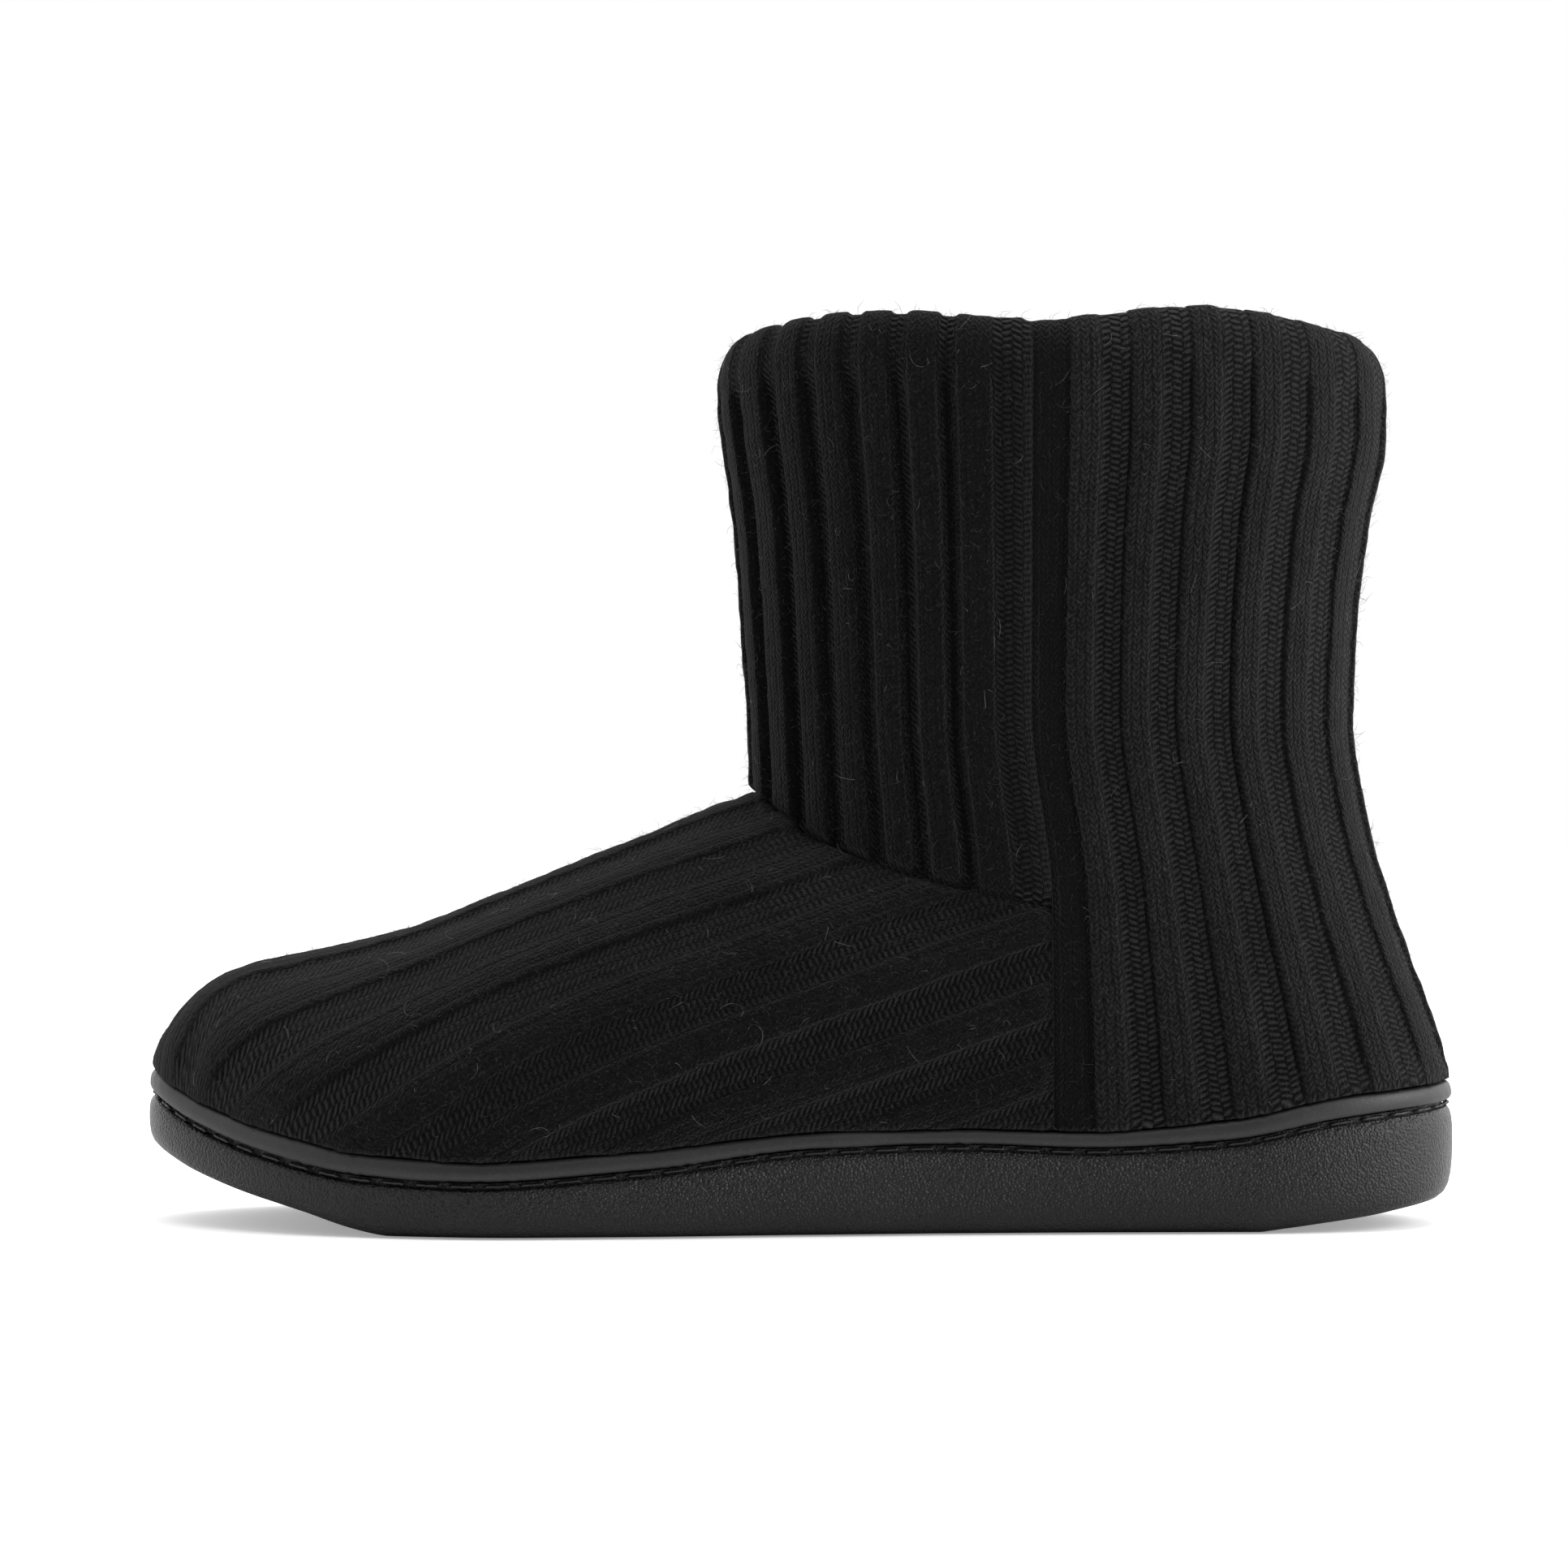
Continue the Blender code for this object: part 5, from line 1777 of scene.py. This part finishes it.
class Wiring:
    """Places and links nodes in one node tree."""

    def __init__(self, tree: bpy.types.NodeTree) -> None:
        """Starts with an empty count of nodes."""
        self.tree = tree
        self.count = 0

    def node(self, kind: str, inputs: dict | None = None, **settings: object) -> bpy.types.Node:
        """Adds a node.

        Args:
            kind: the node's type name.
            inputs: values or output sockets by the input's name or number.
            settings: properties of the node.

        Returns:
            The node.
        """
        node = self.tree.nodes.new(kind)
        node.location = (self.count % 8 * 190, -(self.count // 8) * 220)
        self.count += 1
        for name, value in settings.items():
            setattr(node, name, value)
        for key, value in (inputs or {}).items():
            self.feed(node, key, value)
        return node

    def feed(self, node: bpy.types.Node, key: str | int, value: object) -> None:
        """Links a socket to a node's input, or sets the input's number.

        Args:
            node: the node that is fed.
            key: the input's name or number.
            value: an output socket or a plain value.
        """
        if isinstance(value, bpy.types.NodeSocket):
            self.tree.links.new(value, node.inputs[key])
        else:
            node.inputs[key].default_value = value

    def math(self, operation: str, *values: object) -> bpy.types.NodeSocket:
        """A Math node's result."""
        return self.node("ShaderNodeMath", dict(enumerate(values)), operation=operation).outputs[0]

    def vector(self, operation: str, *values: object) -> bpy.types.NodeSocket:
        """A Vector Math node's result."""
        return self.node("ShaderNodeVectorMath", dict(enumerate(values)), operation=operation).outputs[0]

    def scaled(self, vector: object, share: object) -> bpy.types.NodeSocket:
        """A vector or colour times a number."""
        return self.node("ShaderNodeVectorMath", {0: vector, "Scale": share}, operation="SCALE").outputs[0]

    def mix(self, share: object, low: object, high: object) -> bpy.types.NodeSocket:
        """A blend of two numbers."""
        return self.node("ShaderNodeMix", {0: share, 2: low, 3: high}, data_type="FLOAT").outputs[0]

    def blend(self, share: object, low: object, high: object) -> bpy.types.NodeSocket:
        """A blend of two colours."""
        return self.node("ShaderNodeMix", {0: share, 6: low, 7: high}, data_type="RGBA").outputs[2]

    def noise(self, vector: object, scale: float, detail: float = 2.0, rough: float = 0.5) -> bpy.types.Node:
        """A Noise node."""
        inputs = {"Vector": vector, "Scale": scale, "Detail": detail, "Roughness": rough}
        return self.node("ShaderNodeTexNoise", inputs)

    def spread(
        self, value: object, low: float, high: float, start: float = 0, end: float = 1,
    ) -> bpy.types.NodeSocket:
        """A value carried from one range to another, held at its ends.

        Args:
            value: the value that is carried.
            low: where it starts.
            high: where it ends.
            start: the result at the low end.
            end: the result at the high end.

        Returns:
            The result's socket.
        """
        inputs = {0: value, 1: low, 2: high, 3: start, 4: end}
        return self.node("ShaderNodeMapRange", inputs, clamp=True).outputs[0]


def new_group(name: str, inputs: dict[str, str], outputs: dict[str, str]) -> tuple[Wiring, object, object]:
    """Makes an empty node group with named sockets.

    Args:
        name: the group's name.
        inputs: socket types by name.
        outputs: socket types by name.

    Returns:
        The group's wiring, and its input and output nodes.
    """
    group = bpy.data.node_groups.new(name, "ShaderNodeTree")
    for way, sockets in (("INPUT", inputs), ("OUTPUT", outputs)):
        for label, kind in sockets.items():
            group.interface.new_socket(label, in_out=way, socket_type=kind)
    wiring = Wiring(group)
    return wiring, wiring.node("NodeGroupInput"), wiring.node("NodeGroupOutput")


def stitch_group() -> bpy.types.NodeTree:
    """The relief of plain and purl stitches, from a map that counts wales and courses, and painted shade for
    their hollows.

    Returns:
        The node group.
    """
    w, into, out = new_group(
        "knit_stitches", {"Stitches": VECTOR, "Purl": FLOAT, "Wander": FLOAT},
        {"Height": FLOAT, "PitShade": FLOAT})
    turn = 2 * math.pi
    stitches = into.outputs["Stitches"]
    drift = w.vector("SUBTRACT", w.noise(stitches, 0.62, 3.0, 0.6).outputs["Color"], (0.5, 0.5, 0.5))
    moved = w.vector("ADD", stitches, w.scaled(drift, into.outputs["Wander"]))
    parts = w.node("ShaderNodeSeparateXYZ", {0: moved})
    wale, course = parts.outputs[0], parts.outputs[1]
    # Plain stitches: V legs that meet in the wale's middle.
    aside = w.math("SUBTRACT", w.math("FRACT", wale), 0.5)
    off = w.math("MULTIPLY", w.math("ABSOLUTE", aside), 2.0)
    slant = w.math("SUBTRACT", course, w.math("MULTIPLY", off, 0.95))
    leg = w.math("COSINE", w.math("MULTIPLY", slant, turn))
    stripe = w.math("MULTIPLY_ADD", leg, 0.5, 0.5)
    middle = w.spread(off, 0.0, 0.35, 0.62, 1.0)
    across = w.math("MULTIPLY", middle, w.math("SUBTRACT", 1.0, w.math("POWER", off, 4.0)))
    plain = w.math("MULTIPLY", across, w.math("MULTIPLY_ADD", stripe, 0.62, 0.38))
    # Purl stitches: short slanted dashes, staggered from wale to wale.
    odd = w.math("MULTIPLY", w.math("FRACT", w.math("MULTIPLY", w.math("FLOOR", wale), 0.5)), 2.0)
    lean = w.math("MULTIPLY", aside, w.math("MULTIPLY_ADD", odd, -0.9, 0.45))
    row = w.math("ADD", w.math("MULTIPLY_ADD", odd, 0.5, course), lean)
    dash = w.math("MULTIPLY_ADD", w.math("COSINE", w.math("MULTIPLY", row, turn)), 0.5, 0.5)
    ends = w.math("POWER", w.math("COSINE", w.math("MULTIPLY", aside, 0.94 * math.pi)), 0.55)
    purl = w.math("MULTIPLY", w.math("POWER", dash, 1.25), ends)
    height = w.mix(into.outputs["Purl"], plain, w.math("MULTIPLY", purl, 1.3))
    streaks = w.noise(w.vector("MULTIPLY", stitches, (2.6, 0.5, 1.0)), 1.6, 4.0, 0.7).outputs["Fac"]
    height = w.math("ADD", height, w.spread(streaks, 0.3, 0.7, -0.34, 0.34))
    w.feed(out, "Height", height)
    # Painted shade in the stitches' hollows: 1 where the relief is low.
    w.feed(out, "PitShade", w.spread(height, 0.10, 0.62, 1, 0))
    return w.tree


def fleck_group() -> bpy.types.NodeTree:
    """Nap, pale flecks and patches of wear on any surface, from its own place.

    Returns:
        The node group.
    """
    w, into, out = new_group(
        "nap_and_flecks", {"Place": VECTOR, "Fibre": FLOAT},
        {"Nap": FLOAT, "Flecks": FLOAT, "Patches": FLOAT})
    place = into.outputs["Place"]
    fibre = w.node("ShaderNodeTexNoise", {
        "Vector": place, "Scale": into.outputs["Fibre"], "Detail": 3.0, "Roughness": 0.65, "Distortion": 1.2})
    w.feed(out, "Nap", fibre.outputs["Fac"])
    w.feed(out, "Flecks", w.spread(w.noise(place, 1500.0, 3.0, 0.7).outputs["Fac"], 0.57, 0.72))
    w.feed(out, "Patches", w.spread(w.noise(place, 46.0, 3.0, 0.55).outputs["Fac"], 0.3, 0.7))
    return w.tree


def grain_group() -> bpy.types.NodeTree:
    """A moulded pebble grain: small rounded cells with a fine tooth over them.

    Returns:
        The node group.
    """
    w, into, out = new_group(
        "pebble_grain", {"Place": VECTOR, "Pebbles": FLOAT}, {"Height": FLOAT, "Tone": FLOAT})
    place = into.outputs["Place"]
    cells = w.node("ShaderNodeTexVoronoi", {
        "Vector": place, "Scale": into.outputs["Pebbles"], "Smoothness": 0.7, "Randomness": 1.0,
    }, feature="SMOOTH_F1")
    dome = w.spread(cells.outputs["Distance"], 0.05, 0.75, 1, 0)
    tooth = w.noise(place, 5200.0, 2.0).outputs["Fac"]
    patchy = w.spread(w.noise(place, 60.0, 3.0).outputs["Fac"], 0.3, 0.7, 0.0, 0.45)
    w.feed(out, "Height", w.math("MULTIPLY_ADD", tooth, 0.25, dome))
    # Tone is highest on the pebbles' domes, and higher in random patches.
    w.feed(out, "Tone", w.math("MULTIPLY_ADD", w.math("POWER", dome, 2.0), 0.6, patchy))
    return w.tree


class Groups:
    """The node groups that the finishes share, each built once."""

    def __init__(self) -> None:
        """Builds the groups."""
        self.stitches = stitch_group()
        self.flecks = fleck_group()
        self.grain = grain_group()

    def nap(self, w: Wiring, fibre: float) -> bpy.types.Node:
        """Places the nap and fleck group in a finish, at a fibre scale."""
        place = w.node("ShaderNodeTexCoord").outputs["Object"]
        return w.node("ShaderNodeGroup", {"Place": place, "Fibre": fibre}, node_tree=self.flecks)


def grey(value: float) -> tuple[float, float, float, float]:
    """A neutral colour."""
    return (value, value, value, 1.0)


def blank(
    name: str, roughness: float, specular: float = 0.5,
) -> tuple[bpy.types.Material, Wiring, bpy.types.Node]:
    """A new material with its shader's plain numbers set.

    Args:
        name: the material's name.
        roughness: the surface's roughness.
        specular: its specular level.

    Returns:
        The material, its wiring and its shader.
    """
    material = bpy.data.materials.new(name)
    material.use_nodes = True
    w, shader = Wiring(material.node_tree), material.node_tree.nodes["Principled BSDF"]
    w.feed(shader, "Roughness", roughness)
    w.feed(shader, "Specular IOR Level", specular)
    return material, w, shader


def dressed(
    material: bpy.types.Material, w: Wiring, shader: bpy.types.Node,
    colour: object, height: object, depth: float,
) -> bpy.types.Material:
    """Feeds a finish's colour and relief to its shader.

    Args:
        material: the finish's material.
        w: its wiring.
        shader: its shader.
        colour: the surface's colour.
        height: the relief's height.
        depth: the relief's depth in metres.

    Returns:
        The material.
    """
    node = w.node("ShaderNodeBump", {"Height": height, "Distance": depth, "Strength": 1.0})
    w.feed(shader, "Normal", node.outputs[0])
    w.feed(shader, "Base Color", colour)
    return material


@dataclass(frozen=True)
class KnitFinish:
    """Black wool blend knit with a fuzzy nap."""

    name: str
    tone: float = 0.0042
    # Colour of the painted shade in hollows, seams and grooves.
    deep: float = 0.0010
    fleck: float = 0.040
    fleck_share: float = 0.5
    stitch_depth: float = 0.0008
    pit_share: float = 0.95
    plain_share: float = 1.0
    nap_share: float = 0.35
    fibre: float = 1300.0
    wander: float = 0.55
    sheen: float = 0.07
    sheen_roughness: float = 0.30
    roughness: float = 0.93
    specular: float = 0.08

    def make(self, groups: Groups) -> bpy.types.Material:
        """Builds the material.

        Args:
            groups: the shared node groups.

        Returns:
            The material.
        """
        material, w, shader = blank(self.name, self.roughness, self.specular)
        w.feed(shader, "Sheen Weight", self.sheen)
        w.feed(shader, "Sheen Roughness", self.sheen_roughness)
        # The second mark is painted shade: seams, grooves, creases and sunken bands drawn darker.
        purl, painted_shade = (
            w.node("ShaderNodeAttribute", attribute_name=mark).outputs["Fac"] for mark in ("purl", "painted_shade"))
        stitches = w.node("ShaderNodeUVMap", uv_map="stitches").outputs[0]
        counts = {"Stitches": stitches, "Purl": purl, "Wander": self.wander}
        knit = w.node("ShaderNodeGroup", counts, node_tree=groups.stitches)
        nap = groups.nap(w, self.fibre)
        share = w.mix(purl, self.plain_share, 1.0)
        relief = w.math("MULTIPLY", knit.outputs["Height"], share)
        height = w.math("MULTIPLY_ADD", nap.outputs["Nap"], self.nap_share, relief)
        pit_shade = w.math("MULTIPLY", knit.outputs["PitShade"], share)
        # Painted shade: the stitches' hollows and the marked seams and grooves are drawn towards the deep
        # tone.
        shade = w.math("MAXIMUM", w.math("MULTIPLY", pit_shade, self.pit_share), w.math("MULTIPLY", painted_shade, 0.9))
        shade = w.node("ShaderNodeClamp", {0: shade}).outputs[0]
        patch = w.mix(nap.outputs["Patches"], 0.82, 1.15)
        fuzz = w.spread(nap.outputs["Nap"], 0.35, 0.68)
        thread = w.blend(fuzz, grey(self.tone * 0.5), grey(self.tone * 2.4))
        # Painted highlight: the stitches' tops are drawn lighter.
        crest = w.math("MULTIPLY", w.spread(relief, 0.55, 1.0), 0.7)
        thread = w.blend(crest, thread, grey(self.tone * 4.5))
        # Pale flecks: pale fibres in the yarn, and painted glints on the stitches.
        lit = w.blend(w.math("MULTIPLY", nap.outputs["Flecks"], self.fleck_share), thread, grey(self.fleck))
        colour = w.scaled(w.blend(shade, lit, grey(self.deep)), patch)
        return dressed(material, w, shader, colour, height, self.stitch_depth)


@dataclass(frozen=True)
class MouldedFinish:
    """Black moulded rubber or vinyl with a pebble grain."""

    name: str
    tone: float
    roughness: float
    pebbles: float
    depth: float
    # How much lighter the pebbles' domes are drawn.
    dome_lightening: float = 1.5
    specular: float = 0.5
    dust: float = 0.12
    dust_share: float = 0.12

    def make(self, groups: Groups) -> bpy.types.Material:
        """Builds the material.

        Args:
            groups: the shared node groups.

        Returns:
            The material.
        """
        material, w, shader = blank(self.name, self.roughness, self.specular)
        place = w.node("ShaderNodeTexCoord").outputs["Object"]
        grain = w.node("ShaderNodeGroup", {"Place": place, "Pebbles": self.pebbles}, node_tree=groups.grain)
        nap = groups.nap(w, 400.0)
        colour = w.blend(grain.outputs["Tone"], grey(self.tone), grey(self.tone * self.dome_lightening))
        dust = w.blend(w.math("MULTIPLY", nap.outputs["Flecks"], self.dust_share), colour, grey(self.dust))
        patches, rough = nap.outputs["Patches"], self.roughness
        w.feed(shader, "Roughness", w.mix(patches, rough - 0.04, rough + 0.05))
        return dressed(material, w, shader, dust, grain.outputs["Height"], self.depth)


@dataclass(frozen=True)
class PileFinish:
    """Short soft pile, as on the lining and the footbed."""

    name: str
    tone: float
    depth: float = 0.0005

    def make(self, groups: Groups) -> bpy.types.Material:
        """Builds the material.

        Args:
            groups: the shared node groups.

        Returns:
            The material.
        """
        material, w, shader = blank(self.name, 0.95, 0.2)
        w.feed(shader, "Sheen Weight", 0.25)
        w.feed(shader, "Sheen Roughness", 0.5)
        nap = groups.nap(w, 620.0).outputs["Nap"]
        colour = w.blend(w.spread(nap, 0.3, 0.7), grey(self.tone * 0.5), grey(self.tone * 1.5))
        return dressed(material, w, shader, colour, nap, self.depth)


@dataclass(frozen=True)
class ThreadFinish:
    """Thread and loose fibres: one tone with a little variation along it."""

    name: str
    tone: float
    roughness: float
    spread: float = 0.5
    depth: float = 0.0001

    def make(self, groups: Groups) -> bpy.types.Material:
        """Builds the material.

        Args:
            groups: the shared node groups.

        Returns:
            The material.
        """
        material, w, shader = blank(self.name, self.roughness)
        nap = groups.nap(w, 700.0).outputs["Nap"]
        low, high = self.tone * (1 - self.spread), self.tone * (1 + self.spread)
        colour = w.blend(w.spread(nap, 0.3, 0.7), grey(low), grey(high))
        return dressed(material, w, shader, colour, nap, self.depth)


# Studio

@dataclass
class Studio:
    """The pale floor, the soft lights and the camera at the photo's angle."""

    floor_tone: float = 0.92
    shadow_fill: float = 0.30
    front: float = 0.16
    back: float = 1.9
    heelward: float = 0.38
    low: float = 0.32
    camera_place: tuple[float, float, float] = (-0.003, -1.1, 0.092)
    lens: float = 119.8

    def build(self) -> None:
        """Sets up everything around the slipper."""
        self.floor()
        self.lights()
        self.camera()
        bpy.context.scene.view_settings.view_transform = "Standard"

    def floor(self) -> None:
        """A wide matt floor, which also glows for camera rays: painted light that lightens the shadows on it.
        """
        deselect()
        bpy.ops.mesh.primitive_plane_add(size=12, location=(0, 0, 0))
        floor = bpy.context.object
        floor.name = "studio_floor"
        material, w, shader = blank("pale_floor", 0.9, 0.1)
        place = w.node("ShaderNodeTexCoord").outputs["Object"]
        cloud = w.noise(place, 3.0).outputs["Fac"]
        tone = w.blend(cloud, grey(self.floor_tone), grey(self.floor_tone * 1.02))
        w.feed(shader, "Base Color", tone)
        # Painted light: the floor glows only for the camera, so the shadows on it look lighter.
        seen = w.node("ShaderNodeLightPath").outputs["Is Camera Ray"]
        w.feed(shader, "Emission Color", w.blend(seen, grey(0.0), grey(self.shadow_fill)))
        w.feed(shader, "Emission Strength", 1.0)
        floor.data.materials.append(material)

    def lights(self) -> None:
        """A white surround and three large soft boxes."""
        world = bpy.data.worlds.new("surround")
        bpy.context.scene.world = world
        world.use_nodes = True
        w = Wiring(world.node_tree)
        way = w.node("ShaderNodeSeparateXYZ", {0: w.node("ShaderNodeTexCoord").outputs["Generated"]})
        lean = w.math("MULTIPLY_ADD", way.outputs[0], self.heelward, way.outputs[1])
        lean = w.math("MULTIPLY_ADD", way.outputs[2], -self.low, lean)
        glow = w.spread(lean, -0.95, 0.55, self.front, self.back)
        seen = w.node("ShaderNodeLightPath").outputs["Is Camera Ray"]
        background = world.node_tree.nodes["Background"]
        w.feed(background, 0, (1, 1, 1, 1))
        w.feed(background, 1, w.mix(seen, glow, 1.0))
        boxes = (
            ("top_box", (-0.1, 0.1, 1.5), (0.0, 0.0, 0.0), 1.6, 14.0),
            ("left_box", (-1.2, -0.5, 0.8), (0.0, 0.0, 0.08), 0.9, 3.0),
            ("right_box", (1.2, -0.3, 0.6), (0.0, 0.0, 0.05), 0.9, 11.0),
        )
        for name, place, aim, size, power in boxes:
            light = bpy.data.lights.new(name, "AREA")
            light.shape, light.size, light.energy = "SQUARE", size, power
            box = bpy.data.objects.new(name, light)
            box.location = place
            box.rotation_euler = (Vector(aim) - Vector(place)).to_track_quat("-Z", "Y").to_euler()
            bpy.context.scene.collection.objects.link(box)

    def camera(self) -> None:
        """A level camera at the side of the shoe."""
        camera = bpy.data.cameras.new("photo_camera")
        camera.lens, camera.sensor_width, camera.sensor_fit = self.lens, 36.0, "HORIZONTAL"
        camera.clip_start, camera.clip_end = 0.05, 50
        holder = bpy.data.objects.new("photo_camera", camera)
        holder.location = self.camera_place
        holder.rotation_euler = (QUARTER, 0, 0)
        bpy.context.scene.collection.objects.link(holder)
        bpy.context.scene.camera = holder


def main() -> None:
    """Builds the slipper piece by piece."""
    logging.basicConfig(level=logging.INFO, format="%(name)s %(message)s")
    Studio().build()
    groups = Groups()
    brushed = KnitFinish("brushed_knit", plain_share=0.5, nap_share=0.85, fleck_share=0.75)
    ribbed = KnitFinish("ribbed_knit", tone=0.0039, plain_share=0.62, nap_share=0.75, fleck_share=0.6)
    crisp = KnitFinish(
        "crisp_knit", plain_share=0.85, nap_share=0.55, tone=0.0084, deep=0.0020, fleck=0.08, wander=0.75)
    panels = [
        VampKnit().build(brushed.make(groups)),
        FrontKnit().build(ribbed.make(groups)),
        HeelKnit().build(crisp.make(groups)),
    ]
    vinyl = MouldedFinish("satin_vinyl", 0.0112, 0.50, 2600.0, 0.00003, specular=0.48)
    rubber = MouldedFinish("moulded_black", 0.0020, 0.38, 1900.0, 0.00024, dome_lightening=4.0, specular=0.34)
    pieces = [
        *panels,
        Lining().build(PileFinish("plush_pile", 0.010).make(groups)),
        Outsole().build(rubber.make(groups)),
        Binding().build(vinyl.make(groups)),
        RunningStitch().build(ThreadFinish("waxed_thread", 0.0035, 0.42, 0.2).make(groups)),
        Insole().build(PileFinish("footbed_pile", 0.014).make(groups)),
        Fibres("nap_fibres", 14000, 0.0008, 0.0030, 0.000034, 0.75, 0.9, 51, 2).build(
            panels, ThreadFinish("wool_fibre", 0.03, 0.8).make(groups)),
        Fibres("lint_fibres", 800, 0.0006, 0.0056, 0.000022, 0.14, 1.2, 77, 8).build(
            panels, ThreadFinish("pale_lint", 0.22, 0.7, 0.7).make(groups)),
    ]
    for piece in pieces:
        LOG.info("%s: %d faces", piece.name, len(piece.data.polygons))


if __name__ == "__main__":
    main()
